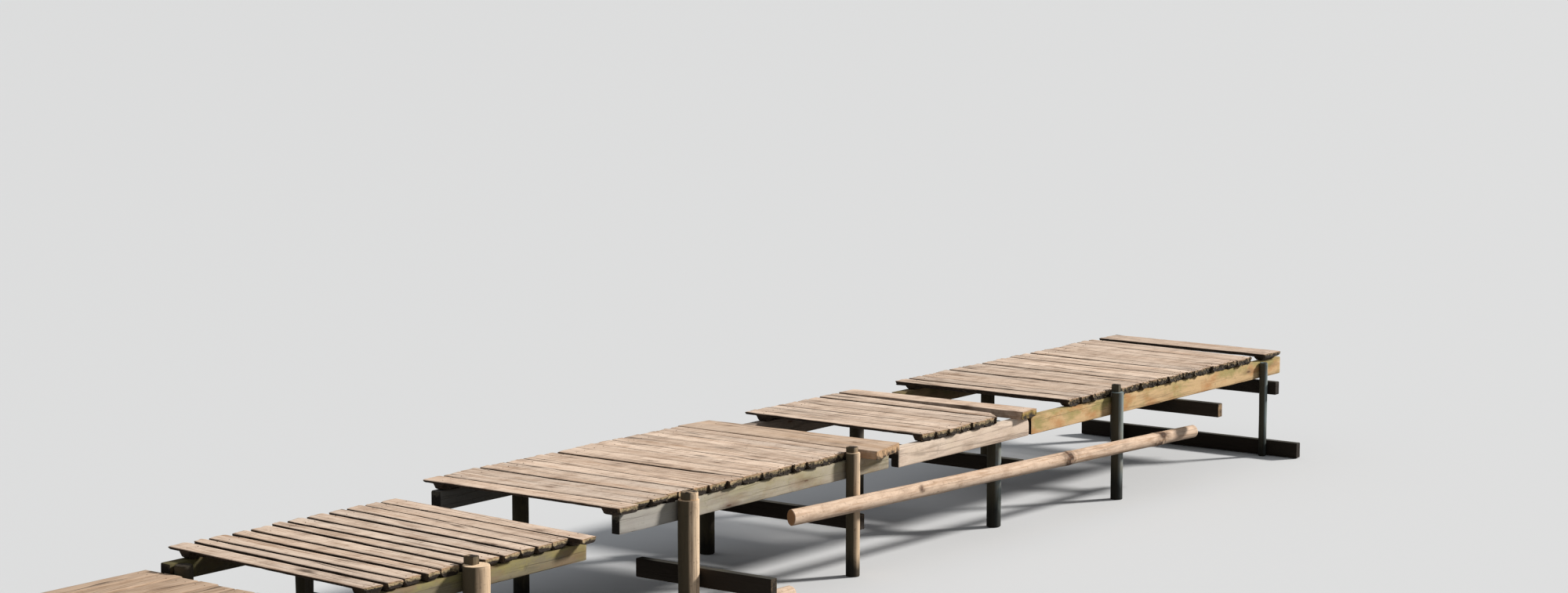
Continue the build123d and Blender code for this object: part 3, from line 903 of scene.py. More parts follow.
# Wear of each bay's planks: rot, lightness, thinning off the stringers, how far edges stand in (in half edge
# wanders), the drop of the outer edge, and how far an edge by a close seam reaches past its corners.
BAY_WEAR = {
    1: {"rot": 0.35, "tone": 0.6, "thin": 0.35, "worn": 0.7, "edge_drop": 0.004, "reach": -0.001},
    2: {"rot": 0.55, "tone": 1.0, "thin": 0.2, "worn": -0.9, "edge_drop": 0.0012, "reach": 0.0026},
    3: {"rot": 0.45, "tone": 1.0, "thin": 0.2, "worn": 0.0, "edge_drop": 0.0018, "reach": 0.0026},
    4: {"rot": 0.8, "tone": 1.0, "thin": 0.2, "worn": -0.9, "edge_drop": 0.0012, "reach": 0.0026},
}

# What differs on a bay's planks before the given number, the thinning of each bay's first plank, and how much
# of it the first planks of bays 2 to 4 have in front of the near stringer.
EARLY_WEAR = {2: (5, {"rot": 0.2, "thin": 0.5}), 4: (9, {"tone": 0.4})}
FIRST_THIN = {1: 0.6, 2: 0.6, 3: 0.6, 4: 0.35}
FIRST_NEAR_THIN = 0.4

# Seams that show as a line, by the number of the plank on their shore side. The planks on both sides of any
# other seam lie close together.
OPEN_SEAMS = {1: (0, 1, 2, 3, 4, 5, 6, 7), 2: (0, 2, 4, 7, 15), 3: (5, 6), 4: (0, 4, 7, 10, 12, 19)}

# How much wider some of them are on the far side, by bay and plank.
WIDE_GAPS = {(2, 0): 0.004, (2, 2): 0.006, (2, 7): 0.04, (3, 5): 0.016, (4, 0): 0.006, (4, 4): 0.036,
             (4, 7): 0.034, (4, 10): 0.01, (4, 12): 0.018}

JOINT_PLANK_ROT = 0.2


def slab_material():
    deck = bpy.context.scene.jetty_deck
    # The slab ends get painted shade over their lower part.
    return wood_material("weathered_slab", deck.sunlit, deck.shade, deck.silver, deck.knot, deck.end_grain,
                         deck.end_dirt_and_shade, deck.bark, silver_share=0.35, stain=deck.stain, stain_share=0.34,
                         speckle=0.55, shade_level=0.88, outline=0.9)


def mossy_material():
    deck, sawn = bpy.context.scene.jetty_deck, bpy.context.scene.jetty_sawn
    return wood_material("mossy_joint_plank", deck.sunlit, deck.shade, deck.silver, deck.knot, sawn.moss,
                         deck.end_dirt_and_shade, deck.bark, silver_share=0.4, stain=deck.stain, stain_share=0.4)


def sawn_material(name, tones=(0.9, 1.06), silver_share=0.3):
    deck, sawn = bpy.context.scene.jetty_deck, bpy.context.scene.jetty_sawn
    return wood_material(name, sawn.face, sawn.shade, deck.silver, deck.knot, sawn.end, deck.end_dirt_and_shade,
                         deck.bark, silver_share=silver_share, tones=tones, stain=deck.stain, stain_share=0.3)


def tone_of(number):
    """Lightness of one piece, different from its neighbours."""
    return (number * 0.61803 + 0.2) % 1


def stringer_lines(bay):
    """Where across the jetty the middles of a bay's near and far stringers run."""
    boxes = [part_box(f"{side}_stringer_{bay}") for side in ("near", "far")]
    return [(low.y + high.y) / 2 for low, high in boxes]


def plank_wear(bay, number):
    """Wear of one plank of a bay."""
    wear = dict(BAY_WEAR[bay])
    count, changes = EARLY_WEAR.get(bay, (0, {}))
    if number < count:
        wear.update(changes)
    if number == 0:
        wear["thin"] = FIRST_THIN[bay]
    return wear


class JETTY_OT_slab_decks(bpy.types.Operator):
    """Cover the four outer bays with round-bottomed slab planks"""
    bl_idname = "jetty.slab_decks"
    bl_label = "Slab Decks"

    def execute(self, context):
        deck = context.scene.jetty_deck
        material, mossy = slab_material(), mossy_material()
        for bay in (1, 2, 3, 4):
            node = f"bay_{bay}_slabs"
            planks = sorted((deck_corners(points) for points in islands(node)), key=lambda f: f[0][0].x)
            if not planks:
                raise RuntimeError(f"{node} has no planks")
            seats = stringer_lines(bay)
            close = [seam not in OPEN_SEAMS[bay] for seam in range(len(planks) - 1)]
            skin = Skin()
            for number, (corners, thickness) in enumerate(planks):
                seed = bay * 100 + number
                joint = bay == 3 and number == len(planks) - 1
                wear = plank_wear(bay, number)
                closed = [wear["reach"] if shut else 0.0 for shut in
                          (number > 0 and close[number - 1], number < len(close) and close[number])]
                plank = Plank(corners, thickness, tone_of(seed) * wear["tone"],
                              JOINT_PLANK_ROT if joint else wear["rot"], seed, deck, flat=joint,
                              wide_gap=WIDE_GAPS.get((bay, number), 0.0), worn=wear["worn"],
                              thin=0.0 if joint else wear["thin"],
                              near_thin=FIRST_NEAR_THIN if number == 0 and bay > 1 else 1.0,
                              seats=seats, edge_drop=wear["edge_drop"], closed=closed)
                if joint:
                    alone = Skin()
                    plank.add_to(alone)
                    alone.piece("joint_plank", mossy, ())
                else:
                    plank.add_to(skin)
            skin.piece(f"bay_{bay}_planks", material, (node,))
        self.add_end_planks(deck, material)
        return {"FINISHED"}

    def add_end_planks(self, deck, material):
        """The wide slab at the outer end and the wide sawn plank that closes bay 2."""
        corners, thickness = deck_corners(islands("outer_end_slab")[0])
        skin = Skin()
        Plank(corners, thickness, 0.1, 0.8, 900, deck, ragged=0.4, thin=0.4,
              seats=stringer_lines(4)).add_to(skin)
        skin.piece("outer_end_slab_wood", material, ("outer_end_slab",))
        corners, thickness = deck_corners(islands("bay_2_end_plank")[0])
        skin = Skin()
        Plank(corners, thickness, 0.55, 0.0, 901, deck, flat=True, ragged=0.4).add_to(skin)
        skin.piece("bay_2_end_plank_wood", sawn_material("newer_plank"), ("bay_2_end_plank",))


class JETTY_OT_shore_boards(bpy.types.Operator):
    """Lay the boards of the shore bay along the jetty"""
    bl_idname = "jetty.shore_boards"
    bl_label = "Shore Boards"

    def execute(self, context):
        skin = Skin()
        boards = islands("shore_deck_boards")
        if not boards:
            raise RuntimeError("the shore bay has no boards")
        for number, points in enumerate(sorted(boards, key=lambda b: b[0].y)):
            add_timber(skin, box_corners(points), 0, context.scene.jetty_sawn.arris * 2.2,
                       tone_of(number + 3) * 0.5, 300 + number)
        material = sawn_material("shore_board", (0.8, 0.98), 0.12)
        skin.piece("shore_boards", material, ("shore_deck_boards",))
        return {"FINISHED"}


# How thick the yellow green film and the second stain lie on each bay's stringers, how light the far ones are
# beside the near ones as painted shade under the deck, and where along stringers 2 the bleached shore end
# begins to fade and is gone.
FILM_SHARES = {1: 0.7, 2: 0.42, 3: 0.12, 4: 0.8}
SECOND_SHARES = {1: 0.45, 2: 0.42, 3: 0.3, 4: 0.65}
FAR_SHADE = 0.42
BLEACH_START, BLEACH_STOP = 0.5, 1.5


class JETTY_OT_stringers(bpy.types.Operator):
    """Shape the long timbers under both edges of the deck"""
    bl_idname = "jetty.stringers"
    bl_label = "Stringers"

    def execute(self, context):
        deck, timber = context.scene.jetty_deck, context.scene.jetty_timber
        bodies = {1: timber.bay_1, 2: timber.bay_2, 3: timber.bay_3, 4: timber.bay_4}
        for bay, body in bodies.items():
            for side, shading in (("near", 1.0), ("far", FAR_SHADE)):
                node = f"{side}_stringer_{bay}"
                # The far stringers are made darker as painted shade under the deck.
                wood = scaled(body, shading)
                bleach = None
                if bay == 2:
                    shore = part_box(node)[0].x
                    bleach = (scaled(timber.bleached, shading), shore + BLEACH_START, shore + BLEACH_STOP)
                material = wood_material(
                    node, wood, scaled(wood, 0.62), scaled(wood, 1.2), deck.knot, timber.outer_end,
                    timber.shaded_shore_end, deck.bark, silver_share=0.5 if bay < 4 else 0.2,
                    stain=scaled(timber.algae, shading), stain_share=FILM_SHARES[bay], stain_scale=3.4,
                    second_stain=scaled(timber.tannin if bay == 4 else deck.stain, shading),
                    second_share=SECOND_SHARES[bay], streak=(1.2, 20, 20), crack_share=0.3,
                    upper_film=bay != 3, film_stretch=0.4, speckle=0.35, bleach=bleach)
                skin = Skin()
                seed = 400 + bay * 2 + (side == "far")
                # A rot of 2 lays the shore-end colour, which is painted shade, over the whole shore end.
                add_timber(skin, box_corners(islands(node)[0]), 0, timber.arris, 0.5, seed, rots=(2.0, 0.1),
                           worn_end=(side, bay) == ("near", 3))
                skin.piece(node + "_wood", material, (node,))
        return {"FINISHED"}


CROSS_TIMBERS = tuple(f"cross_brace_{k}" for k in (1, 2, 3, 4)) + (
    "mid_bay_bearer", "outer_bearer", "low_outer_beam", "shore_joist_1", "shore_joist_2", "shore_joist_3")
CROSS_TIMBER_ROTS = {"outer_bearer": 0.9, "low_outer_beam": 1.6, "mid_bay_bearer": 0.05}
USUAL_ROT = 0.7


class JETTY_OT_cross_timbers(bpy.types.Operator):
    """Shape the joists, braces, bearers and beam that run across the jetty"""
    bl_idname = "jetty.cross_timbers"
    bl_label = "Cross Timbers"

    def execute(self, context):
        deck, timber = context.scene.jetty_deck, context.scene.jetty_timber
        # The cross timbers' dark colour is partly painted shade, and their shore side gets more of it.
        dark = wood_material("soaked_and_shaded_timber", timber.dark, scaled(timber.dark, 0.5), scaled(timber.dark, 1.6),
                             deck.end_dirt_and_shade, timber.dark_end, deck.end_dirt_and_shade, deck.end_dirt_and_shade, stain=timber.algae,
                             stain_share=0.06, shaded_side=deck.end_dirt_and_shade)
        joist = wood_material("joist_timber", timber.bay_1, scaled(timber.bay_1, 0.5), deck.silver, deck.knot,
                              deck.end_grain, deck.end_dirt_and_shade, deck.bark, stain=timber.algae, stain_share=0.4,
                              tones=(0.55, 0.8))
        for number, node in enumerate(CROSS_TIMBERS):
            skin = Skin()
            rot = CROSS_TIMBER_ROTS.get(node, USUAL_ROT)
            add_timber(skin, box_corners(islands(node)[0]), 1, timber.arris, tone_of(number), 500 + number,
                       rots=(rot, rot))
            skin.piece(node + "_wood", joist if node.startswith("shore") else dark, (node,))
        return {"FINISHED"}


# Posts by their finish; every other post is dark, partly as painted shade. A headed post is cut back to a
# ledge round its head.
PEELED_POSTS = ("near_post_0", "near_post_1", "near_post_2", "near_post_3")
GREY_POSTS = ("near_post_4", "near_post_5", "near_post_6")
HEADED_POSTS = ("near_post_1", "near_post_2", "near_post_3", "near_post_5")

# A squared tongue stands on each ledge, except on one post, whose head is round. Heads sink a little into
# their post. The shift of the round head's foot is along x and y.
ROUND_HEAD_POST, HEAD_RADII, HEAD_SHIFT = "near_post_2", (0.053, 0.052), (0.002, -0.006)
NARROW_TONGUE_POST, NARROW_CHEEK = "near_post_3", 0.5
HEAD_OVERLAP, CUT_BAND = 0.002, 0.003
# A tongue's shore side gets painted shade, and its other sides this share of it.
TONGUE_ARRIS, TONGUE_SHADE = 0.005, 0.62
LEAST_LEDGE_HEIGHT = 0.3


class JETTY_OT_posts(bpy.types.Operator):
    """Shape the round posts, with their cut heads"""
    bl_idname = "jetty.posts"
    bl_label = "Posts"

    def execute(self, context):
        post = context.scene.jetty_post
        peeled, grey, dark = self.finishes(context)
        nodes = [f"near_post_{k}" for k in range(7)] + [f"far_post_{k}" for k in range(7)]
        nodes += [f"shore_{side}_post_{k}" for side in ("near", "far") for k in (1, 2)]
        for number, node in enumerate(nodes):
            points = islands(node)[0]
            low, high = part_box(node)
            centre = Vector(((low.x + high.x) / 2, (low.y + high.y) / 2, 0))
            radius = (high.x - low.x) / 2
            headed = node in HEADED_POSTS
            ledge = min(p.z for p in points if p.z > LEAST_LEDGE_HEIGHT)
            skin = Skin()
            add_log(skin, centre, centre + Vector((0, 0, ledge if headed else high.z)), radius, radius,
                    post.swell, tone_of(number), 600 + number, chamfer=0.002 if headed else 0.006,
                    cut_band=CUT_BAND if headed else None)
            if node == ROUND_HEAD_POST:
                foot = Vector((centre.x + HEAD_SHIFT[0], centre.y + HEAD_SHIFT[1], ledge - HEAD_OVERLAP))
                add_log(skin, foot, Vector((foot.x, foot.y, high.z)), *HEAD_RADII, 0.002, tone_of(number),
                        650 + number, chamfer=0.005, rot=0.5)
            elif headed:
                cheek = post.tongue_cheek * (NARROW_CHEEK if node == NARROW_TONGUE_POST else 1.0)
                block = self.tongue_block(points, ledge, high.z, cheek)
                add_timber(skin, box_corners(block), 2, TONGUE_ARRIS, tone_of(number), 650 + number,
                           rots=(0.7, 0.7), shading=TONGUE_SHADE)
            finish = peeled if node in PEELED_POSTS else grey if node in GREY_POSTS else dark
            skin.piece(node + "_wood", finish, (node,))
        return {"FINISHED"}

    def finishes(self, context):
        """Materials of the peeled, the grey and the dark posts."""
        deck, post = context.scene.jetty_deck, context.scene.jetty_post
        algae = context.scene.jetty_timber.algae

        # Every post gets painted shade on the side away from the key light.
        def post_material(name, light, shade, foot_height, **more):
            return wood_material(name, light, shade, deck.silver, deck.knot, light, deck.end_dirt_and_shade, deck.bark,
                                 silver_share=0.15, streak=(0.7, 16, 16), knot_cells=(3.2, 9, 9),
                                 knot_radius=0.1, crack_share=0.25, shaded_side=post.shaded_side, foot=post.foot,
                                 foot_height=foot_height, **more)

        peeled = post_material("peeled_post", post.peeled, post.peeled_shade, post.foot_height, speckle=0.5)
        grey = post_material("grey_post", post.grey, post.grey_shade, post.foot_height * 1.7, stain=algae,
                             stain_share=0.15, second_stain=deck.stain, second_share=0.2)
        dark = post_material("dark_post", post.far, post.far_shade, post.foot_height, stain=algae,
                             stain_share=0.12)
        return peeled, grey, dark

    def tongue_block(self, points, ledge, top, cheek):
        """Corner points of a squared tongue from its ledge up, wider on its outer side by the cheek."""
        head = [p for p in points if p.z > top - 0.001]
        x_span, y_span = [[min(p[k] for p in head), max(p[k] for p in head)] for k in (0, 1)]
        y_span[0] -= cheek
        return [Vector((x, y, z)) for x in x_span for y in y_span for z in (ledge - HEAD_OVERLAP, top)]


# Rings of cut branches: how many branches each has, how far they stand from their even places along and round
# the pole, and how high their bark lies. The first ring is one small branch.
RING_BRANCHES, RING_SHIFT, RING_TURN = 4, 0.05, 0.35
BRANCH_HEIGHT, FIRST_BRANCH_HEIGHT, FIRST_BRANCH_SIZE = 0.0055, 0.0025, 0.5
LOW_POLE_RINGS = (0.9, 2.3)
POLE_END_REACH, POLE_SLANT = 0.012, 0.5


def cut_branches(rings, stub_size, seed):
    """Stubs of a pole's rings of cut branches, as add_log takes them."""
    pick = random.Random(seed)
    stubs = []
    for number, ring in enumerate(rings):
        branches = RING_BRANCHES if number else 1
        for branch in range(branches):
            size = stub_size * (pick.uniform(0.75, 1.25) if number else FIRST_BRANCH_SIZE)
            turn = 1.1 + math.tau * branch / branches + pick.uniform(-RING_TURN, RING_TURN)
            place = ring + pick.uniform(-RING_SHIFT, RING_SHIFT) * (number > 0)
            stubs.append((place, turn, size, BRANCH_HEIGHT if number else FIRST_BRANCH_HEIGHT))
    return stubs


class JETTY_OT_fender_poles(bpy.types.Operator):
    """Shape the peeled round poles along the near posts"""
    bl_idname = "jetty.fender_poles"
    bl_label = "Fender Poles"

    def execute(self, context):
        deck, pole = context.scene.jetty_deck, context.scene.jetty_pole
        material = wood_material("peeled_pole", pole.peeled, pole.shade, deck.silver, pole.whorl, pole.end,
                                 deck.end_dirt_and_shade, pole.whorl, silver_share=0.2, streak=(1.6, 24, 24),
                                 knot_cells=(3.0, 11, 11), knot_radius=0.03, crack_share=0.3, speckle=0.4,
                                 stain=deck.stain, stain_share=0.35, stain_scale=7.0)
        for node, rings, slant in (("fender_pole", tuple(pole.whorl_places), POLE_SLANT),
                                   ("low_fender_pole", LOW_POLE_RINGS, 0.0)):
            points = islands(node)[0]
            low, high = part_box(node)
            ends = []
            for group in ([p for p in points if p.x < low.x + POLE_END_REACH],
                          [p for p in points if p.x > high.x - POLE_END_REACH]):
                middle = Vector([(min(p[k] for p in group) + max(p[k] for p in group)) / 2 for k in range(3)])
                ends.append((middle, (max(p.y for p in group) - min(p.y for p in group)) / 2))
            (base, base_radius), (tip, tip_radius) = ends
            skin = Skin()
            add_log(skin, base, tip, base_radius, tip_radius, pole.swell, 0.6, 700 + len(node), sides=36,
                    step=0.06, stubs=cut_branches(rings, pole.stub_size, len(node)), rot=-0.5, slant=slant)
            skin.piece(node + "_wood", material, (node,))
        return {"FINISHED"}


def node_group(name, sizes):
    """Empty Geometry Nodes group with named inputs; gives the group, its input node and its output node."""
    group = bpy.data.node_groups.new(name, "GeometryNodeTree")
    group.interface.new_socket("Geometry", in_out="INPUT", socket_type="NodeSocketGeometry")
    for label in sizes:
        group.interface.new_socket(label, in_out="INPUT", socket_type="NodeSocketFloat")
    group.interface.new_socket("Seed", in_out="INPUT", socket_type="NodeSocketInt")
    group.interface.new_socket("Material", in_out="INPUT", socket_type="NodeSocketMaterial")
    group.interface.new_socket("Geometry", in_out="OUTPUT", socket_type="NodeSocketGeometry")
    return group, group.nodes.new("NodeGroupInput"), group.nodes.new("NodeGroupOutput")


def random_vector(group, entry, low, high):
    """A vector drawn between low and high for each point, by the group's seed."""
    draw = group.nodes.new("FunctionNodeRandomValue")
    draw.data_type = "FLOAT_VECTOR"
    draw.inputs[0].default_value = low
    draw.inputs[1].default_value = high
    group.links.new(entry.outputs["Seed"], draw.inputs["Seed"])
    return draw.outputs[0]


def place_copies(group, entry, leave, points, copy, rotation, scale=None):
    """Ends a group: copies on the points, made real and given the group's material."""
    link = group.links.new
    place = group.nodes.new("GeometryNodeInstanceOnPoints")
    link(points, place.inputs["Points"])
    link(copy, place.inputs["Instance"])
    link(rotation, place.inputs["Rotation"])
    if scale is not None:
        link(scale, place.inputs["Scale"])
    realise = group.nodes.new("GeometryNodeRealizeInstances")
    paint = group.nodes.new("GeometryNodeSetMaterial")
    link(place.outputs["Instances"], realise.inputs["Geometry"])
    link(realise.outputs["Geometry"], paint.inputs["Geometry"])
    link(entry.outputs["Material"], paint.inputs["Material"])
    link(paint.outputs["Geometry"], leave.inputs["Geometry"])


def grow(source, group, values, name):
    """Runs a Geometry Nodes group on a mesh and keeps the result as a plain piece."""
    carrier = bpy.data.objects.new(name + "_carrier", source)
    bpy.context.scene.collection.objects.link(carrier)
    modifier = carrier.modifiers.new(name, "NODES")
    modifier.node_group = group
    for item in group.interface.items_tree:
        if item.item_type == "SOCKET" and item.in_out == "INPUT" and item.name in values:
            modifier[item.identifier] = values[item.name]
    carrier.update_tag()
    bpy.context.view_layer.update()
    evaluated = carrier.evaluated_get(bpy.context.evaluated_depsgraph_get())
    mesh = bpy.data.meshes.new_from_object(evaluated)
    mesh.name = name
    bpy.data.objects.remove(carrier)
    if not mesh.polygons:
        raise RuntimeError(f"{name} came out empty")
    made = bpy.data.objects.new(name, mesh)
    bpy.context.scene.collection.objects.link(made)
    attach(made, "root")


# Nail heads: corners, the top's share of the radius, lean and turn, places across a slab and a board, how far
# they stray, how far they sink in, and how far they stay from the outer end of the shore boards.
NAIL_SIDES, NAIL_CROWN, NAIL_LEAN, NAIL_TURN = 10, 0.72, 0.1, 6.28
SLAB_NAILS, BOARD_NAILS = (0.27, 0.73), (0.25, 0.72)
NAIL_STRAY_ACROSS, NAIL_STRAY_ALONG, BOARD_NAIL_STRAY = 0.05, 0.014, 0.01
NAIL_SINK, BOARD_END_CLEARANCE = 0.0012, 0.09


class JETTY_OT_nails(bpy.types.Operator):
    """Nail every plank to the stringers"""
    bl_idname = "jetty.nails"
    bl_label = "Nails"

    def execute(self, context):
        nail = context.scene.jetty_nail
        source = bpy.data.meshes.new("nail_spots")
        source.from_pydata([tuple(s) for s in self.slab_spots() + self.board_spots()], [], [])
        grow(source, self.heads(), {"Head Radius": nail.radius, "Head Height": nail.height, "Seed": nail.seed,
                                    "Material": rust_material("rusted_steel", nail.rust)}, "nails")
        return {"FINISHED"}

    def heads(self):
        """Geometry Nodes group that puts a blunt nail head on every point."""
        group, entry, leave = node_group("nail_heads", ("Head Radius", "Head Height"))
        link = group.links.new
        head = group.nodes.new("GeometryNodeMeshCone")
        head.inputs["Vertices"].default_value = NAIL_SIDES
        link(entry.outputs["Head Radius"], head.inputs["Radius Bottom"])
        crown = group.nodes.new("ShaderNodeMath")
        crown.operation = "MULTIPLY"
        crown.inputs[1].default_value = NAIL_CROWN
        link(entry.outputs["Head Radius"], crown.inputs[0])
        link(crown.outputs[0], head.inputs["Radius Top"])
        link(entry.outputs["Head Height"], head.inputs["Depth"])
        lean = random_vector(group, entry, (-NAIL_LEAN, -NAIL_LEAN, 0.0), (NAIL_LEAN, NAIL_LEAN, NAIL_TURN))
        place_copies(group, entry, leave, entry.outputs["Geometry"], head.outputs["Mesh"], lean)
        return group

    def slab_spots(self):
        """Two nails in each slab over each stringer."""
        spots = []
        for bay in (1, 2, 3, 4):
            nodes = [f"bay_{bay}_slabs"] + {2: ["bay_2_end_plank"], 4: ["outer_end_slab"]}.get(bay, [])
            planks = [deck_corners(points)[0] for node in nodes for points in islands(node)]
            for number, (near_a, near_b, far_a, far_b) in enumerate(planks):
                pick = random.Random(bay * 50 + number)
                for line in stringer_lines(bay):
                    t = (line - near_a.y) / (far_a.y - near_a.y)
                    left, right = near_a.lerp(far_a, t), near_b.lerp(far_b, t)
                    for share in SLAB_NAILS:
                        spot = left.lerp(right, share + pick.uniform(-NAIL_STRAY_ACROSS, NAIL_STRAY_ACROSS))
                        stray = pick.uniform(-NAIL_STRAY_ALONG, NAIL_STRAY_ALONG)
                        spots.append(spot + Vector((0, stray, -NAIL_SINK)))
        return spots

    def board_spots(self):
        """Two nails in each board of the shore bay over each joist."""
        spots = []
        low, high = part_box("shore_deck_boards")
        count = len(islands("shore_deck_boards"))
        width = (high.y - low.y) / count
        for number in (1, 2, 3):
            joist_low, joist_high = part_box(f"shore_joist_{number}")
            for board in range(count):
                for share in BOARD_NAILS:
                    stray = BOARD_NAIL_STRAY * wander(board, share, number, 3)
                    x = min((joist_low.x + joist_high.x) / 2 + stray, high.x - BOARD_END_CLEARANCE)
                    spots.append(Vector((x, low.y + width * (board + share), high.z - NAIL_SINK)))
        return spots


# Flakes grow where the slabs' end and rot values pass these, on the near ends only, and on faces that are
# flaky enough. Each is a small ball with a share of the flake size along each axis, turned any way.
FLAKY_END, FLAKY_ROT, FLAKY_FACE = 0.35, 0.25, 0.4
FLAKE_SHARES_LOW, FLAKE_SHARES_HIGH = (0.3, 0.2, 0.15), (1.3, 0.7, 0.5)
FLAKE_TURN = 3.0
BARKY_BAYS = {2: 0.5, 3: 0.5, 4: 1.0}


class JETTY_OT_bark(bpy.types.Operator):
    """Scatter bark flakes round the ends of the slabs"""
    bl_idname = "jetty.bark"
    bl_label = "Bark Flakes"

    def execute(self, context):
        bark = context.scene.jetty_bark
        group = self.flakes()
        material = flake_material("bark_flake", context.scene.jetty_deck.bark, bark.pale)
        for bay, share in BARKY_BAYS.items():
            source = bpy.data.objects[f"bay_{bay}_planks"].data.copy()
            ends = [d.value for d in source.attributes["end"].data]
            rots = [d.value for d in source.attributes["rot"].data]
            flaky = source.attributes.new("flaky", "FLOAT", "POINT")
            flaky.data.foreach_set("value", [1.0 if e > FLAKY_END and r > FLAKY_ROT and v.co.y < 0 else 0.0
                                             for e, r, v in zip(ends, rots, source.vertices)])
            grow(source, group, {"Flake Size": bark.flake, "Density": bark.density * share,
                                 "Seed": bark.seed + bay, "Material": material},
                 f"bay_{bay}_bark")
        return {"FINISHED"}

    def flakes(self):
        """Geometry Nodes group that scatters flakes over the flaky faces."""
        group, entry, leave = node_group("bark_flakes", ("Flake Size", "Density"))
        link = group.links.new
        near_ends = group.nodes.new("GeometryNodeInputNamedAttribute")
        near_ends.data_type = "FLOAT"
        near_ends.inputs["Name"].default_value = "flaky"
        picked = group.nodes.new("FunctionNodeCompare")
        picked.data_type = "FLOAT"
        picked.operation = "GREATER_THAN"
        picked.inputs[1].default_value = FLAKY_FACE
        scatter = group.nodes.new("GeometryNodeDistributePointsOnFaces")
        link(near_ends.outputs["Attribute"], picked.inputs[0])
        link(entry.outputs["Geometry"], scatter.inputs["Mesh"])
        link(picked.outputs["Result"], scatter.inputs["Selection"])
        link(entry.outputs["Density"], scatter.inputs["Density"])
        link(entry.outputs["Seed"], scatter.inputs["Seed"])
        flake = group.nodes.new("GeometryNodeMeshIcoSphere")
        flake.inputs["Subdivisions"].default_value = 1
        link(entry.outputs["Flake Size"], flake.inputs["Radius"])
        turn = random_vector(group, entry, (-FLAKE_TURN,) * 3, (FLAKE_TURN,) * 3)
        size = random_vector(group, entry, FLAKE_SHARES_LOW, FLAKE_SHARES_HIGH)
        place_copies(group, entry, leave, scatter.outputs["Points"], flake.outputs["Mesh"], turn, size)
        return group


# Half the floor's width and its drop below the feet, the fill's colour, the key light's colour, its spread in
# degrees and the way to it, and the camera's place and its turn in degrees.
FLOOR_HALF, FLOOR_DROP = 400.0, 0.001
FILL_COLOUR = (0.93, 0.96, 1.0, 1.0)
KEY_COLOUR, KEY_SPREAD, TO_KEY = (1.0, 0.965, 0.92), 8, Vector((0.74, -0.475, 0.475))
CAMERA_PLACE, CAMERA_TURN = (-14.8069, -11.5376, 4.09), (83.034, 0, -53.2)
SENSOR_WIDTH, CLIP_END = 36.0, 1000.0


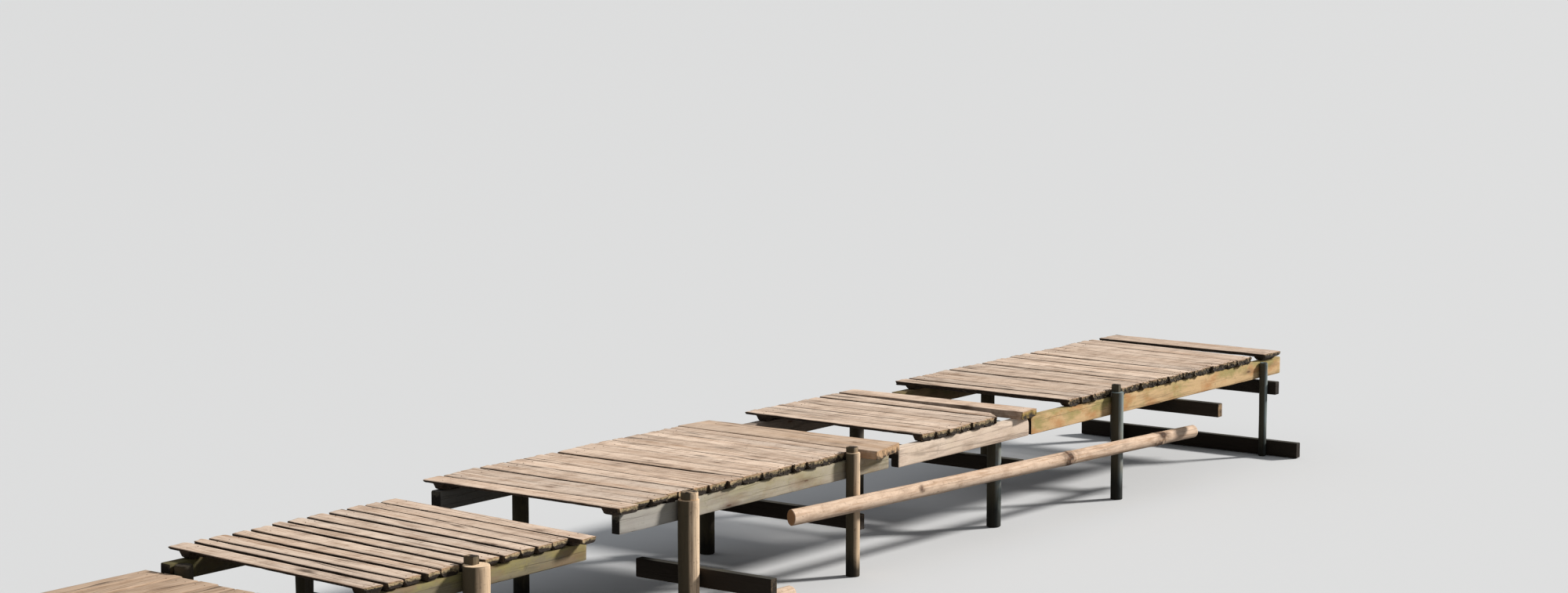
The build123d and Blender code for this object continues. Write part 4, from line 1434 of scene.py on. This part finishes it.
class JETTY_OT_stage(bpy.types.Operator):
    """Set a plain pale floor, soft light and the camera"""
    bl_idname = "jetty.stage"
    bl_label = "Stage"

    def execute(self, context):
        stage = context.scene.jetty_stage
        mesh = bpy.data.meshes.new("floor")
        corners = [(FLOOR_HALF * x, FLOOR_HALF * y, 0) for x, y in ((-1, -1), (1, -1), (1, 1), (-1, 1))]
        mesh.from_pydata(corners, [], [(0, 1, 2, 3)])
        mesh.materials.append(self.floor_material(stage))
        floor = bpy.data.objects.new("floor", mesh)
        context.scene.collection.objects.link(floor)
        floor.location.z = -FLOOR_DROP

        world = bpy.data.worlds.new("even_fill")
        world.use_nodes = True
        backdrop = world.node_tree.nodes["Background"]
        backdrop.inputs["Color"].default_value = FILL_COLOUR
        backdrop.inputs["Strength"].default_value = stage.sky
        context.scene.world = world

        lamp = bpy.data.lights.new("key_light", "SUN")
        lamp.energy = stage.key
        lamp.angle = math.radians(KEY_SPREAD)
        lamp.color = KEY_COLOUR
        key = bpy.data.objects.new("key_light", lamp)
        key.rotation_euler = TO_KEY.to_track_quat("Z", "Y").to_euler()
        context.scene.collection.objects.link(key)

        view = bpy.data.cameras.new("camera")
        view.lens = stage.lens
        view.sensor_width = SENSOR_WIDTH
        view.clip_end = CLIP_END
        camera = bpy.data.objects.new("camera", view)
        camera.location = CAMERA_PLACE
        camera.rotation_euler = [math.radians(angle) for angle in CAMERA_TURN]
        context.scene.collection.objects.link(camera)
        context.scene.camera = camera
        context.scene.view_settings.view_transform = "Standard"
        return {"FINISHED"}

    def floor_material(self, stage):
        """Pale where the camera, gloss or glass sees the floor, and dimmer in what it throws back up."""
        shade = Shade("pale_floor")
        rays = shade.node("LightPath")
        seen = shade.math("MAXIMUM", rays.outputs["Is Camera Ray"], rays.outputs["Is Glossy Ray"])
        seen = shade.math("MAXIMUM", seen, rays.outputs["Is Transmission Ray"])
        shader = shade.node("BsdfPrincipled", {"Base Color": shade.mix(seen, stage.bounce, stage.floor),
                                               "Roughness": 0.9, "Specular IOR Level": 0.2})
        shade.node("OutputMaterial", {"Surface": shader.outputs["BSDF"]})
        return shade.material


OPERATORS = (
    JETTY_OT_slab_decks,
    JETTY_OT_shore_boards,
    JETTY_OT_stringers,
    JETTY_OT_cross_timbers,
    JETTY_OT_posts,
    JETTY_OT_fender_poles,
    JETTY_OT_nails,
    JETTY_OT_bark,
    JETTY_OT_stage,
)


class JETTY_PT_panel(bpy.types.Panel):
    """Jetty pieces and their settings"""
    bl_idname = "JETTY_PT_panel"
    bl_label = "Jetty"
    bl_space_type = "VIEW_3D"
    bl_region_type = "UI"
    bl_category = "Jetty"

    def draw(self, context):
        column = self.layout.column()
        for operator in OPERATORS:
            column.operator(operator.bl_idname)
        for name, group in SETTINGS.items():
            box = self.layout.box()
            box.label(text=group.__doc__)
            settings = getattr(context.scene, name)
            for key in group.__annotations__:
                box.prop(settings, key)


def register():
    for group in SETTINGS.values():
        bpy.utils.register_class(group)
    for name, group in SETTINGS.items():
        setattr(bpy.types.Scene, name, PointerProperty(type=group))
    for operator in OPERATORS:
        bpy.utils.register_class(operator)
    bpy.utils.register_class(JETTY_PT_panel)


def unregister():
    bpy.utils.unregister_class(JETTY_PT_panel)
    for operator in reversed(OPERATORS):
        bpy.utils.unregister_class(operator)
    for name, group in SETTINGS.items():
        delattr(bpy.types.Scene, name)
        bpy.utils.unregister_class(group)


def main():
    register()
    for operator in OPERATORS:
        getattr(bpy.ops.jetty, operator.bl_idname.split(".")[1])()


if __name__ == "__main__":
    main()
